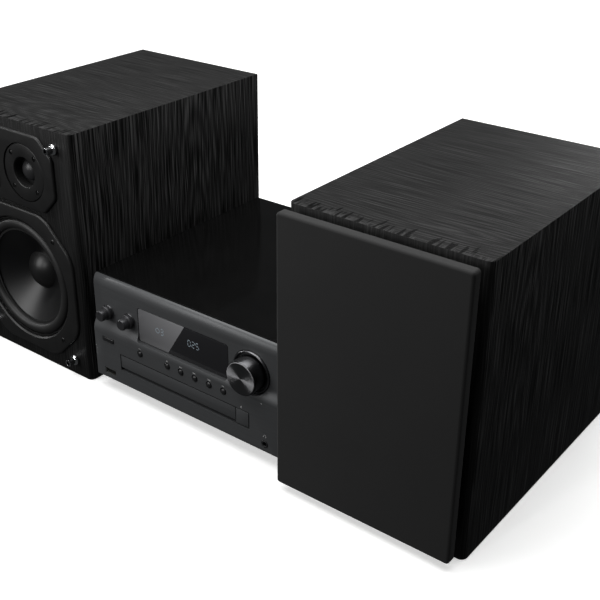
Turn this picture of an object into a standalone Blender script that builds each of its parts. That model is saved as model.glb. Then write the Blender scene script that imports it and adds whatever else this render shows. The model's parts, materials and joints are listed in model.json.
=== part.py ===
"""Mini hifi system: a main unit with a disc drawer between two three-way bookshelf speakers.

Metres, +Z up. The front faces -Y. The origin is on the table, at the middle of the whole set.
Every object is one physical piece.
"""

import math

import bmesh
import bpy
from mathutils import Matrix, Vector

# ---- Driving dimensions ---------------------------------------------------------------------
GAP = 0.0003                    # clearance left between pieces that touch

CABINET_WIDTH = 0.161
CABINET_DEPTH = 0.245
CABINET_HEIGHT = 0.238
CABINET_WALL = 0.012
BAFFLE_THICKNESS = 0.015
BACK_INSET = 0.003              # the back board sits this far inside the wrap
FRONT_CORNER_RADIUS = 0.0055
SPEAKER_SPACING = 0.2307        # free width between the two cabinets

GRILLE_WIDTH = 0.1546
GRILLE_BOTTOM = 0.0073
GRILLE_TOP = 0.2369
GRILLE_FRONT = 0.018            # distance from the baffle to the cloth's face
GRILLE_BACK = 0.010             # distance from the baffle to the frame's back
CLOTH_THICKNESS = 0.0006

SET_DEPTH = CABINET_DEPTH + GRILLE_FRONT
BAFFLE_Y = -SET_DEPTH / 2 + GRILLE_FRONT
CABINET_BACK_Y = BAFFLE_Y + CABINET_DEPTH
SPEAKER_X = SPEAKER_SPACING / 2 + CABINET_WIDTH / 2

WOOFER_HEIGHT = 0.0834
WOOFER_PLATE_HALF = 0.0713
WOOFER_PLATE_RAISE = 0.0025
SURROUND_RADIUS = 0.0585
CONE_RADIUS = 0.048
DUST_CAP_RADIUS = 0.0185
TWEETER_OFFSET = 0.0185         # from the cabinet's middle towards the main unit
TWEETER_HEIGHT = 0.1922
SUPER_TWEETER_OFFSET = 0.036    # from the cabinet's middle away from the main unit
SUPER_TWEETER_HEIGHT = 0.180
TWEETER_PLATE_HALF = 0.058
TWEETER_PLATE_LOW = 0.1585
TWEETER_PLATE_HIGH = 0.2290
STUD_OFFSET = 0.060             # grille studs, from the cabinet's middle
STUD_EDGE = 0.016               # grille studs, from the cabinet's top and bottom
PORT_RADIUS = 0.0175
PORT_HEIGHT = 0.178
PORT_LENGTH = 0.085
TERMINAL_HEIGHT = 0.055

UNIT_WIDTH = 0.211
UNIT_TOP = 0.114
UNIT_BOTTOM = 0.007
UNIT_DEPTH = 0.2298             # from the lower fascia's face to the rear panel
SHEET = 0.0012
FASCIA_BACK = 0.009             # all the "Y" sizes of the unit count from the lower fascia's face
UPPER_FACE = 0.004
FASCIA_BOTTOM = 0.013

DISPLAY_LOW = 0.0645
DISPLAY_HIGH = 0.0968
DISPLAY_HALF = 0.0514
VOLUME_X = 0.0760
VOLUME_Z = 0.0813
VOLUME_RADIUS = 0.0150
VOLUME_FRONT = -0.010
TONE_KNOB_X = (-0.0888, -0.0624)
TONE_KNOB_Z = 0.0802
TONE_KNOB_FRONT = -0.007
BUTTON_ROW_Z = 0.0541
BUTTON_X = (-0.0476, -0.0148, 0.0009, 0.0169, 0.0328, 0.0486)
BUTTON_NAMES = ("source_button", "stop_button", "play_button",
                "skip_back_button", "skip_forward_button", "selector_button")
BUTTON_RADIUS = 0.0026
POWER_X = -0.0877
LEFT_SOCKET_X = -0.0879
FRONT_SOCKET_Z = 0.0210
HEADPHONE_X = 0.0921

DRAWER_LEFT = -0.0736
DRAWER_RIGHT = 0.0752
DRAWER_LOW = 0.0289
DRAWER_HIGH = 0.0438
EJECT_LEFT = 0.0611
DOOR_LOW = 0.0313
TRAY_X = (DRAWER_LEFT + EJECT_LEFT) / 2
TRAY_HALF = 0.0645
TRAY_LENGTH = 0.165
TRAY_FRONT = 0.0008
TRAY_FLOOR = 0.0335
DISC_Y = 0.072
DISC_RADIUS = 0.0605
SPINDLE_SLOT_HALF = 0.022
GEAR_TEETH = 16
GEAR_MODULE = 0.0015
RACK_X = TRAY_X - 0.050
RACK_LOW = DRAWER_LOW + 0.0006  # the rack leaves through the drawer's opening with the tray
RACK_HIGH = TRAY_FLOOR + 0.0009
GEAR_Z = 0.0312
GEAR_THICKNESS = 0.0034
SHAFT_BOTTOM = 0.0240           # inside the hole in the mechanism's floor
SHAFT_TOP = 0.0322
SHAFT_RADIUS = 0.0025

FORWARD = (math.pi / 2, 0, 0)   # turns a piece drawn flat so that its local Z faces the front
REARWARD = (-math.pi / 2, 0, 0)


# ---- Scene, collections and finishes ----------------------------------------------------------
for old in list(bpy.data.objects):
    bpy.data.objects.remove(old)

parts = bpy.data.collections.new("mini_hifi_system")
cutters = bpy.data.collections.new("cutters")
bpy.context.scene.collection.children.link(parts)
bpy.context.scene.collection.children.link(cutters)


def finish(name, colour, roughness, metallic=0.0):
    """A plain Principled material."""
    material = bpy.data.materials.new(name)
    material.use_nodes = True
    shader = material.node_tree.nodes["Principled BSDF"]
    shader.inputs["Base Color"].default_value = (*colour, 1.0)
    shader.inputs["Roughness"].default_value = roughness
    shader.inputs["Metallic"].default_value = metallic
    return material


BLACK_VINYL = finish("black_wood_vinyl", (0.016, 0.016, 0.016), 0.5)
BLACK_PLASTIC = finish("black_plastic", (0.012, 0.012, 0.012), 0.45)
GLOSS_BLACK = finish("gloss_black_lacquer", (0.008, 0.008, 0.008), 0.12)
FASCIA_GREY = finish("fascia_grey", (0.05, 0.05, 0.052), 0.4, 0.6)
KNOB_METAL = finish("knob_metal", (0.2, 0.2, 0.2), 0.3, 1.0)
CHROME = finish("chrome", (0.8, 0.8, 0.8), 0.08, 1.0)
CONE_BLACK = finish("cone_black", (0.02, 0.02, 0.02), 0.4)
RUBBER = finish("black_rubber", (0.012, 0.012, 0.012), 0.7)
CLOTH = finish("grille_cloth", (0.014, 0.014, 0.014), 0.9)
STEEL = finish("zinc_steel", (0.45, 0.45, 0.43), 0.4, 1.0)
ALUMINIUM = finish("aluminium", (0.6, 0.6, 0.6), 0.35, 1.0)
BOARD_GREEN = finish("circuit_board", (0.02, 0.08, 0.03), 0.5)
SMOKED = finish("smoked_window", (0.01, 0.01, 0.012), 0.08)
FERRITE = finish("ferrite", (0.03, 0.03, 0.03), 0.6)
WHITE_PLASTIC = finish("white_plastic", (0.6, 0.6, 0.58), 0.5)


# ---- Shape helpers ----------------------------------------------------------------------------
def place(name, mesh, location, material, rotation=(0, 0, 0)):
    """Puts a mesh in the scene as one named part."""
    piece = bpy.data.objects.new(name, mesh)
    piece.location = location
    piece.rotation_euler = rotation
    if material is not None:
        mesh.materials.append(material)
    parts.objects.link(piece)
    return piece


def block(name, low, high, material=None):
    """A box between two corners, with its origin at its middle."""
    low, high = Vector(low), Vector(high)
    shape = bmesh.new()
    bmesh.ops.create_cube(shape, size=1.0, matrix=Matrix.Diagonal((*(high - low), 1.0)))
    mesh = bpy.data.meshes.new(name)
    shape.to_mesh(mesh)
    shape.free()
    return place(name, mesh, (low + high) / 2, material)


def cylinder(name, centre, radius, length, material=None, rotation=FORWARD, sides=24):
    """A round bar whose middle is at centre; its axis is local Z."""
    shape = bmesh.new()
    bmesh.ops.create_cone(shape, cap_ends=True, segments=sides,
                          radius1=radius, radius2=radius, depth=length)
    mesh = bpy.data.meshes.new(name)
    shape.to_mesh(mesh)
    shape.free()
    return place(name, mesh, centre, material, rotation)


def turned(name, profile, location, material, rotation=FORWARD, steps=32, closed=False):
    """A profile of (radius, height) points, spun about local Z. It runs down its outer side."""
    count = len(profile)
    edges = [(i, i + 1) for i in range(count - 1)]
    if closed:
        edges.append((count - 1, 0))
    mesh = bpy.data.meshes.new(name)
    mesh.from_pydata([(radius, 0, height) for radius, height in profile], edges, [])
    piece = place(name, mesh, location, material, rotation)
    spin = piece.modifiers.new("spin", "SCREW")
    spin.axis = "Z"
    spin.angle = 2 * math.pi
    spin.steps = spin.render_steps = steps
    spin.use_merge_vertices = True
    spin.merge_threshold = 0.000001
    return piece


def fillet(corners, radius, steps=4):
    """Replaces each corner of a polygon by an arc; radius is one number or one per corner."""
    count = len(corners)
    radii = radius if isinstance(radius, (list, tuple)) else [radius] * count
    outline = []
    for index, corner in enumerate(corners):
        corner = Vector(corner)
        before = (Vector(corners[index - 1]) - corner).normalized()
        after = (Vector(corners[(index + 1) % count]) - corner).normalized()
        half = before.angle(after) / 2
        reach = radii[index] / math.tan(half)
        centre = corner + (before + after).normalized() * radii[index] / math.sin(half)
        start = corner + before * reach - centre
        turn = start.angle_signed(corner + after * reach - centre)
        for step in range(steps + 1):
            angle = -turn * step / steps
            outline.append(centre + Matrix.Rotation(angle, 2) @ start)
    return outline


def rectangle(low_x, low_y, high_x, high_y):
    return [(low_x, low_y), (high_x, low_y), (high_x, high_y), (low_x, high_y)]


def octagon(low_x, low_y, high_x, high_y, cut):
    """A rectangle with its corners cut off."""
    return [(low_x + cut, low_y), (high_x - cut, low_y), (high_x, low_y + cut),
            (high_x, high_y - cut), (high_x - cut, high_y), (low_x + cut, high_y),
            (low_x, high_y - cut), (low_x, low_y + cut)]


def outline_plate(name, outline, thickness, location, material=None, rotation=FORWARD):
    """A flat outline, drawn as a 2D curve and given its thickness along local Z."""
    curve = bpy.data.curves.new(name, "CURVE")
    curve.dimensions = "2D"
    curve.fill_mode = "BOTH"
    curve.extrude = thickness / 2
    spline = curve.splines.new("POLY")
    spline.points.add(len(outline) - 1)
    for point, (x, y) in zip(spline.points, outline):
        point.co = (x, y, 0, 1)
    spline.use_cyclic_u = True
    drawing = bpy.data.objects.new(name + "_outline", curve)
    parts.objects.link(drawing)
    graph = bpy.context.evaluated_depsgraph_get()
    mesh = bpy.data.meshes.new_from_object(drawing.evaluated_get(graph))
    bpy.data.objects.remove(drawing)
    shape = bmesh.new()
    shape.from_mesh(mesh)
    bmesh.ops.remove_doubles(shape, verts=shape.verts, dist=0.000001)
    bmesh.ops.recalc_face_normals(shape, faces=shape.faces)
    shape.to_mesh(mesh)
    shape.free()
    mesh.name = name
    return place(name, mesh, location, material, rotation)


def combine(piece, tools, operation):
    """Cuts the tools from a piece, or joins them to it."""
    for tool in tools:
        parts.objects.unlink(tool)
        cutters.objects.link(tool)
        tool.hide_render = True
        tool.display_type = "WIRE"
        step = piece.modifiers.new(operation.lower(), "BOOLEAN")
        step.operation = operation
        step.solver = "EXACT"
        step.object = tool
    return piece


def cut(piece, *tools):
    return combine(piece, tools, "DIFFERENCE")


def join(piece, *tools):
    return combine(piece, tools, "UNION")


# ---- Speakers ---------------------------------------------------------------------------------
def build_cabinet(prefix, x, inward):
    """Vinyl-wrapped box with driver, port and terminal cut-outs; hollow inside."""
    half = CABINET_WIDTH / 2
    section = fillet(rectangle(-half, -CABINET_DEPTH / 2, half, CABINET_DEPTH / 2),
                     [FRONT_CORNER_RADIUS, FRONT_CORNER_RADIUS, 0.0008, 0.0008])
    middle = (x, BAFFLE_Y + CABINET_DEPTH / 2, CABINET_HEIGHT / 2)
    cabinet = outline_plate(prefix + "cabinet", section, CABINET_HEIGHT, middle,
                            BLACK_VINYL, (0, 0, 0))
    inner = half - CABINET_WALL
    board_back = CABINET_BACK_Y - BACK_INSET
    cavity = block(prefix + "cavity", (x - inner, BAFFLE_Y + BAFFLE_THICKNESS, CABINET_WALL),
                   (x + inner, board_back - CABINET_WALL, CABINET_HEIGHT - CABINET_WALL))
    rim = half - 0.009
    recess = block(prefix + "back_recess", (x - rim, board_back, 0.009),
                   (x + rim, CABINET_BACK_Y + 0.01, CABINET_HEIGHT - 0.009))
    through = BAFFLE_Y + BAFFLE_THICKNESS / 2
    holes = [
        cylinder(prefix + "woofer_hole", (x, through, WOOFER_HEIGHT), 0.0602, 0.03, sides=32),
        cylinder(prefix + "tweeter_hole",
                 (x + inward * TWEETER_OFFSET, through, TWEETER_HEIGHT), 0.0205, 0.03),
        cylinder(prefix + "super_tweeter_hole",
                 (x - inward * SUPER_TWEETER_OFFSET, through, SUPER_TWEETER_HEIGHT), 0.0160, 0.03),
        cylinder(prefix + "port_hole", (x, board_back - 0.01, PORT_HEIGHT), 0.0200, 0.03),
        block(prefix + "terminal_hole", (x - 0.031, board_back - 0.02, TERMINAL_HEIGHT - 0.026),
              (x + 0.031, board_back + 0.002, TERMINAL_HEIGHT + 0.026)),
    ]
    return cut(cabinet, cavity, recess, *holes)


def build_woofer(prefix, x):
    """Trim plate on the baffle, pressed basket with its magnet behind, and the moving cone."""
    half = WOOFER_PLATE_HALF
    low, high = WOOFER_HEIGHT - half, WOOFER_HEIGHT + half
    corners = octagon(x - half, low, x + half, high, 0.034)
    thickness = WOOFER_PLATE_RAISE
    plate = outline_plate(prefix + "woofer_plate", fillet(corners, 0.016, 3), thickness,
                          (0, BAFFLE_Y - GAP - thickness / 2, 0), BLACK_PLASTIC)
    cut(plate, cylinder(prefix + "plate_hole", (x, BAFFLE_Y, WOOFER_HEIGHT), 0.0605, 0.02,
                        sides=36))
    front = (x, BAFFLE_Y, WOOFER_HEIGHT)
    turned(prefix + "woofer_basket", [
        (0.0595, -0.0002), (0.0595, -0.0100), (0.0330, -0.0480), (0.0400, -0.0480),
        (0.0400, -0.0700), (0.0120, -0.0700), (0.0120, -0.0530), (0.0285, -0.0490),
        (0.0545, -0.0105), (0.0588, -0.0100), (0.0588, -0.0002)],
        front, FERRITE, steps=28, closed=True)
    turned(prefix + "woofer_cone", [
        (0.0, -0.0105), (0.0110, -0.0130), (DUST_CAP_RADIUS, -0.0195), (CONE_RADIUS, -0.0020),
        (0.0510, 0.0015), (0.0555, 0.0015), (SURROUND_RADIUS, -0.0030), (CONE_RADIUS, -0.0035),
        (0.0150, -0.0245), (0.0150, -0.0460), (0.0, -0.0460)], front, CONE_BLACK, steps=28)


def build_tweeters(prefix, x, inward):
    """Shared trim plate, dome tweeter and super tweeter."""
    corners = octagon(x - TWEETER_PLATE_HALF, TWEETER_PLATE_LOW,
                      x + TWEETER_PLATE_HALF, TWEETER_PLATE_HIGH, 0.017)
    plate = outline_plate(prefix + "tweeter_plate", fillet(corners, 0.009, 3),
                          WOOFER_PLATE_RAISE,
                          (0, BAFFLE_Y - GAP - WOOFER_PLATE_RAISE / 2, 0), BLACK_PLASTIC)
    units = (("tweeter", x + inward * TWEETER_OFFSET, TWEETER_HEIGHT, 0.0265, 0.0200, 0.0095),
             ("super_tweeter", x - inward * SUPER_TWEETER_OFFSET, SUPER_TWEETER_HEIGHT,
              0.0200, 0.0155, 0.0062))
    for name, unit_x, height, flange, body, dome in units:
        cut(plate, cylinder(prefix + name + "_plate_hole", (unit_x, BAFFLE_Y, height),
                            flange + 2 * GAP, 0.02, sides=28))
        turned(prefix + name, [
            (0.0, 0.0002), (dome * 0.6, -0.0012), (dome, -0.0048), (dome + 0.0045, 0.0002),
            (flange - 0.0020, 0.0016), (flange, GAP), (body, GAP), (body, -0.0200),
            (0.0, -0.0200)], (unit_x, BAFFLE_Y, height), BLACK_PLASTIC, steps=24)


def build_back(prefix, x):
    """Reflex port tube and the terminal cup, which carries the crossover board inside."""
    face = CABINET_BACK_Y - BACK_INSET
    turned(prefix + "port_tube", [
        (PORT_RADIUS, 0.0012), (0.0195, 0.0022), (0.0250, 0.0020), (0.0250, GAP),
        (0.0196, GAP), (0.0196, -PORT_LENGTH), (PORT_RADIUS, -PORT_LENGTH)],
        (x, face, PORT_HEIGHT), BLACK_PLASTIC, REARWARD, steps=20, closed=True)
    cup = block(prefix + "terminal_cup", (x - 0.036, face + GAP, TERMINAL_HEIGHT - 0.031),
                (x + 0.036, face + 0.0022, TERMINAL_HEIGHT + 0.031), BLACK_PLASTIC)
    well = block(prefix + "cup_well", (x - 0.0305, face - 0.022, TERMINAL_HEIGHT - 0.0255),
                 (x + 0.0305, face + 0.001, TERMINAL_HEIGHT + 0.0255))
    board = block(prefix + "crossover", (x - 0.045, face - 0.034, TERMINAL_HEIGHT - 0.035),
                  (x + 0.045, face - 0.0215, TERMINAL_HEIGHT + 0.035))
    hollow = block(prefix + "cup_hollow", (x - 0.028, face - 0.0195, TERMINAL_HEIGHT - 0.023),
                   (x + 0.028, face + 0.01, TERMINAL_HEIGHT + 0.023))
    join(cup, well, board)
    cut(cup, hollow)
    for offset in (-0.0125, 0.0125):
        post = cylinder(prefix + "binding_post", (x + offset, face - 0.0115, TERMINAL_HEIGHT),
                        0.0055, 0.0190, sides=16)
        join(cup, post)


def build_studs(prefix, x):
    """Four hollow studs on the baffle that hold the grille's pins."""
    profile = [(0.0, 0.0018), (0.0023, 0.0018), (0.0023, 0.0097), (0.0033, 0.0097),
               (0.0033, 0.0030), (0.0050, 0.0022), (0.0050, GAP), (0.0, GAP)]
    for side, across in (("inner", 1), ("outer", -1)):
        for level, height in (("low", STUD_EDGE), ("high", CABINET_HEIGHT - STUD_EDGE)):
            turned(prefix + "grille_stud_" + side + "_" + level, profile,
                   (x + across * STUD_OFFSET, BAFFLE_Y, height), CHROME, steps=12)


def build_grille(prefix, x):
    """Frame with four push pins, and the cloth stretched over its face and sides."""
    half = GRILLE_WIDTH / 2
    middle_z = (GRILLE_BOTTOM + GRILLE_TOP) / 2
    half_height = (GRILLE_TOP - GRILLE_BOTTOM) / 2

    def rounded_slab(name, inset, front, back, radius, material):
        corners = rectangle(-half + inset, -half_height + inset, half - inset,
                            half_height - inset)
        slab = outline_plate(name, fillet(corners, 0.0045 - inset, 4), front - back,
                             (x, BAFFLE_Y - (front + back) / 2, middle_z), material)
        edge = slab.modifiers.new("rounded_face", "BEVEL")
        edge.width = radius
        edge.segments = 3
        edge.limit_method = "ANGLE"
        edge.angle_limit = math.radians(60)
        return slab

    cloth = rounded_slab(prefix + "grille_cloth", 0.0, GRILLE_FRONT, GRILLE_BACK - 0.004, 0.0028,
                         CLOTH)
    inside = rounded_slab(prefix + "cloth_inside", CLOTH_THICKNESS,
                          GRILLE_FRONT - CLOTH_THICKNESS, GRILLE_BACK - 0.008, 0.0024, None)
    trim = block(prefix + "cloth_trim", (x - 0.1, BAFFLE_Y - GRILLE_BACK, -0.01),
                 (x + 0.1, BAFFLE_Y + 0.01, 0.26))
    cut(cloth, inside, trim)
    inset = CLOTH_THICKNESS + GAP
    frame = rounded_slab(prefix + "grille_frame", inset, GRILLE_FRONT - inset,
                         GRILLE_BACK - 0.004, 0.0022, BLACK_PLASTIC)
    trim = block(prefix + "frame_trim", (x - 0.1, BAFFLE_Y - GRILLE_BACK, -0.01),
                 (x + 0.1, BAFFLE_Y + 0.01, 0.26))
    window = block(prefix + "frame_window",
                   (x - half + 0.026, BAFFLE_Y - 0.03, GRILLE_BOTTOM + 0.020),
                   (x + half - 0.026, BAFFLE_Y, GRILLE_TOP - 0.020))
    cut(frame, trim, window)
    for across in (-1, 1):
        for height in (STUD_EDGE, CABINET_HEIGHT - STUD_EDGE):
            pin = cylinder(prefix + "grille_pin",
                           (x + across * STUD_OFFSET, BAFFLE_Y - 0.0080, height),
                           0.0018, 0.0100, sides=12)
            join(frame, pin)


for prefix, side in (("left_", -1), ("right_", 1)):
    centre_x = side * SPEAKER_X
    build_cabinet(prefix, centre_x, -side)
    build_woofer(prefix, centre_x)
    build_tweeters(prefix, centre_x, -side)
    build_back(prefix, centre_x)
build_studs("left_", -SPEAKER_X)
build_grille("right_", SPEAKER_X)


# ---- Main unit: casing ------------------------------------------------------------------------
UNIT_HALF = UNIT_WIDTH / 2


def at(y):
    """World Y of a depth measured from the lower fascia's face."""
    return BAFFLE_Y + y


def unit_block(name, x_range, y_range, z_range, material=None):
    """A box of the main unit, from its three ranges."""
    low = (x_range[0], at(y_range[0]), z_range[0])
    high = (x_range[1], at(y_range[1]), z_range[1])
    return block(name, low, high, material)


def side_section(name, outline, x_range, material):
    """A section drawn in depth and height, carried across the unit's width."""
    middle_x = (x_range[0] + x_range[1]) / 2
    return outline_plate(name, [(at(y), z) for y, z in outline], x_range[1] - x_range[0],
                         (middle_x, 0, 0), material, (math.pi / 2, 0, math.pi / 2))


def fascia_section():
    """Rounded lip, flat upper face, hollow ramp and flat lower face."""
    lip_y, lip_z = FASCIA_BACK - UPPER_FACE, 0.0095
    section = [(UPPER_FACE + lip_y * (1 - math.cos(math.radians(a))),
                0.1038 + lip_z * math.sin(math.radians(a))) for a in range(0, 91, 15)]
    ramp = [(UPPER_FACE * (0.5 + 0.5 * math.cos(math.radians(a))), 0.0735 - 0.013 * a / 180)
            for a in range(20, 141, 30)]
    return [(FASCIA_BACK, FASCIA_BOTTOM)] + section[::-1] + ramp + [
        (0.0, 0.0605), (0.0, FASCIA_BOTTOM)]


fascia = side_section("front_panel", fascia_section(), (-UNIT_HALF, UNIT_HALF), FASCIA_GREY)
fascia_cuts = [
    outline_plate("display_cut", fillet(rectangle(-DISPLAY_HALF, DISPLAY_LOW, DISPLAY_HALF,
                                                  DISPLAY_HIGH), 0.0025), 0.03, (0, at(0), 0)),
    cylinder("volume_pocket", (VOLUME_X, at(-0.0050), VOLUME_Z), 0.0192, 0.020, sides=32),
    cylinder("volume_shaft_hole", (VOLUME_X, at(0), VOLUME_Z), 0.0042, 0.04, sides=24),
    unit_block("drawer_cut", (DRAWER_LEFT, DRAWER_RIGHT), (-0.01, 0.02),
               (DRAWER_LOW, DRAWER_HIGH)),
    unit_block("power_cut", (POWER_X - 0.0074, POWER_X + 0.0074), (-0.01, 0.02),
               (0.0516, 0.0562)),
    unit_block("usb_cut", (LEFT_SOCKET_X - 0.0070, LEFT_SOCKET_X + 0.0070), (-0.01, 0.02),
               (FRONT_SOCKET_Z - 0.0031, FRONT_SOCKET_Z + 0.0031)),
    cylinder("headphone_cut", (HEADPHONE_X, at(0), FRONT_SOCKET_Z), 0.0036, 0.04, sides=24),
]
for x in TONE_KNOB_X:
    fascia_cuts.append(cylinder("tone_hole", (x, at(0), TONE_KNOB_Z), 0.0034, 0.04, sides=20))
for x in BUTTON_X:
    fascia_cuts.append(cylinder("button_hole", (x, at(0), BUTTON_ROW_Z), BUTTON_RADIUS + 0.0005,
                                0.04, sides=20))
cut(fascia, *fascia_cuts)

cover = unit_block("top_cover", (-UNIT_HALF, UNIT_HALF), (FASCIA_BACK + GAP, UNIT_DEPTH),
                   (0.0095, UNIT_TOP), GLOSS_BLACK)
cut(cover, unit_block("cover_inside", (-UNIT_HALF + SHEET, UNIT_HALF - SHEET), (0, 0.3),
                      (0, UNIT_TOP - SHEET)))

pan_half = UNIT_HALF - SHEET - GAP
side_section("chassis_base", [
    (FASCIA_BACK + GAP, UNIT_BOTTOM), (UNIT_DEPTH - 0.0018, UNIT_BOTTOM),
    (UNIT_DEPTH - 0.0018, 0.018), (UNIT_DEPTH - 0.0030, 0.018),
    (UNIT_DEPTH - 0.0030, UNIT_BOTTOM + SHEET), (FASCIA_BACK + 0.0015, UNIT_BOTTOM + SHEET),
    (FASCIA_BACK + 0.0015, 0.0150), (FASCIA_BACK + GAP, 0.0150)], (-pan_half, pan_half), STEEL)

rear = unit_block("rear_panel", (-pan_half, pan_half), (UNIT_DEPTH - 0.0014, UNIT_DEPTH),
                  (UNIT_BOTTOM, UNIT_TOP - SHEET - GAP), BLACK_PLASTIC)
cut(rear,
    unit_block("speaker_terminal_cut", (-0.050, 0.004), (0.22, 0.24), (0.026, 0.058)),
    unit_block("inlet_cut", (0.062, 0.088), (0.22, 0.24), (0.026, 0.046)),
    unit_block("jack_cut", (-0.092, -0.060), (0.22, 0.24), (0.030, 0.058)))
for row in range(5):
    for left in (0.014, 0.054):
        z = 0.066 + 0.0075 * row
        cut(rear, unit_block("rear_vent", (left, left + 0.034), (0.22, 0.24),
                             (z - 0.0015, z + 0.0015)))

for name, x, y in (("foot_front_left", -0.085, 0.026), ("foot_front_right", 0.085, 0.026),
                   ("foot_rear_left", -0.085, 0.206), ("foot_rear_right", 0.085, 0.206)):
    turned(name, [(0.0, UNIT_BOTTOM - GAP), (0.0100, UNIT_BOTTOM - GAP), (0.0100, 0.0020),
                  (0.0085, 0.0), (0.0, 0.0)], (x, at(y), 0), RUBBER, (0, 0, 0), steps=16)


# ---- Main unit: controls and sockets of the front ---------------------------------------------
gap_half = DISPLAY_HALF - GAP
outline_plate("display_window", fillet(rectangle(-gap_half, DISPLAY_LOW + GAP, gap_half,
                                                 DISPLAY_HIGH - GAP), 0.0022), 0.0024,
              (0, at(UPPER_FACE + 0.0013), 0), SMOKED)
display = unit_block("display_module", (-0.054, 0.054), (FASCIA_BACK + GAP, 0.0150),
                     (0.0625, 0.0990), BLACK_PLASTIC)
join(display, unit_block("display_glass", (-0.050, 0.050), (0.0072, 0.0120),
                         (0.0655, 0.0958)))

turned("volume_ring", [(0.0168, 0.0002), (0.0176, 0.0014), (0.0183, 0.0010), (0.0189, -0.0004),
                       (0.0189, -0.0007), (0.0168, -0.0007)],
       (VOLUME_X, at(UPPER_FACE), VOLUME_Z), CHROME, closed=True, steps=32)
face = UPPER_FACE - VOLUME_FRONT
turned("volume_knob", [(0.0, face), (0.0142, face), (0.0147, face - 0.0006),
                       (VOLUME_RADIUS, face - 0.0016), (VOLUME_RADIUS + 0.0004, 0.0004),
                       (0.0100, 0.0004), (0.0100, -0.0004), (0.0036, -0.0004),
                       (0.0036, -0.0076), (0.0, -0.0076)],
       (VOLUME_X, at(UPPER_FACE), VOLUME_Z), KNOB_METAL, steps=32)
for name, x in zip(("bass_knob", "treble_knob"), TONE_KNOB_X):
    face = UPPER_FACE - TONE_KNOB_FRONT
    turned(name, [(0.0, face), (0.0042, face), (0.0047, face - 0.0005), (0.0050, 0.0036),
                  (0.0062, 0.0030), (0.0064, GAP), (0.0030, GAP), (0.0030, -0.0076),
                  (0.0, -0.0076)], (x, at(UPPER_FACE), TONE_KNOB_Z), KNOB_METAL, steps=20)

for name, x in zip(BUTTON_NAMES, BUTTON_X):
    turned(name, [(0.0, 0.0011), (0.0020, 0.0007), (BUTTON_RADIUS, 0.0), (BUTTON_RADIUS, -0.0093),
                  (0.0040, -0.0093), (0.0040, -0.0103), (0.0014, -0.0103), (0.0014, -0.0150),
                  (0.0, -0.0150)], (x, at(0), BUTTON_ROW_Z), BLACK_PLASTIC, steps=12)
power = unit_block("power_button", (POWER_X - 0.0070, POWER_X + 0.0070), (-0.0008, 0.0100),
                   (0.0519, 0.0559), BLACK_PLASTIC)
join(power, unit_block("power_flange", (POWER_X - 0.0082, POWER_X + 0.0082), (0.0094, 0.0108),
                       (0.0524, 0.0570)))
eject = unit_block("eject_button", (EJECT_LEFT + 0.0004, DRAWER_RIGHT - 0.0004), (0.0004, 0.0030),
                   (DRAWER_LOW + 0.0004, DRAWER_HIGH - 0.0004), BLACK_PLASTIC)
join(eject, unit_block("eject_stem", (0.0690, 0.0730), (0.0020, 0.0100), (0.0340, 0.0390)))

usb = unit_block("usb_socket", (LEFT_SOCKET_X - 0.0066, LEFT_SOCKET_X + 0.0066), (0.0004, 0.0190),
                 (FRONT_SOCKET_Z - 0.00275, FRONT_SOCKET_Z + 0.00275), STEEL)
cut(usb, unit_block("usb_cavity", (LEFT_SOCKET_X - 0.0062, LEFT_SOCKET_X + 0.0062),
                    (-0.01, 0.0140), (FRONT_SOCKET_Z - 0.00235, FRONT_SOCKET_Z + 0.00235)))
turned("headphone_jack", [(0.0, -0.0150), (0.0018, -0.0150), (0.0018, 0.0002), (0.0033, 0.0002),
                          (0.0033, -0.0094), (0.0052, -0.0094), (0.0052, -0.0180),
                          (0.0, -0.0180)],
       (HEADPHONE_X, at(0), FRONT_SOCKET_Z), BLACK_PLASTIC, steps=16)

control_board = unit_block("control_board", (-0.100, 0.100), (0.0170, 0.0186), (0.0515, 0.1080),
                           BOARD_GREEN)
join(control_board, cylinder("volume_encoder", (VOLUME_X, at(0.0152), VOLUME_Z), 0.0065, 0.0056,
                             sides=16))
for x in TONE_KNOB_X:
    join(control_board, cylinder("tone_pot", (x, at(0.0152), TONE_KNOB_Z), 0.0055, 0.0056,
                                 sides=16))


# ---- Main unit: disc drawer and its mechanism -------------------------------------------------
tray = unit_block("cd_tray", (TRAY_X - TRAY_HALF, TRAY_X + TRAY_HALF),
                  (TRAY_FRONT + 0.001, TRAY_LENGTH), (TRAY_FLOOR, 0.0425), BLACK_PLASTIC)
door = unit_block("tray_door", (DRAWER_LEFT + 0.0004, EJECT_LEFT - 0.0004),
                  (TRAY_FRONT, TRAY_FRONT + 0.0030), (DOOR_LOW, DRAWER_HIGH - 0.0004))
join(tray, door)
cut(tray,
    cylinder("disc_recess", (TRAY_X, at(DISC_Y), 0.0425), DISC_RADIUS, 0.0060, None, (0, 0, 0),
             48),
    unit_block("spindle_slot", (TRAY_X - SPINDLE_SLOT_HALF, TRAY_X + SPINDLE_SLOT_HALF),
               (DISC_Y - 0.018, 0.2), (0.02, 0.05)))

TOOTH_PITCH = math.pi * GEAR_MODULE
PITCH_RADIUS = GEAR_TEETH * GEAR_MODULE / 2
GEAR_Y = 0.0245
TOOTH_REACH = 0.0012            # tooth height each side of the pitch line
TOOTH_SLIM = 0.0008             # play between the teeth


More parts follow.
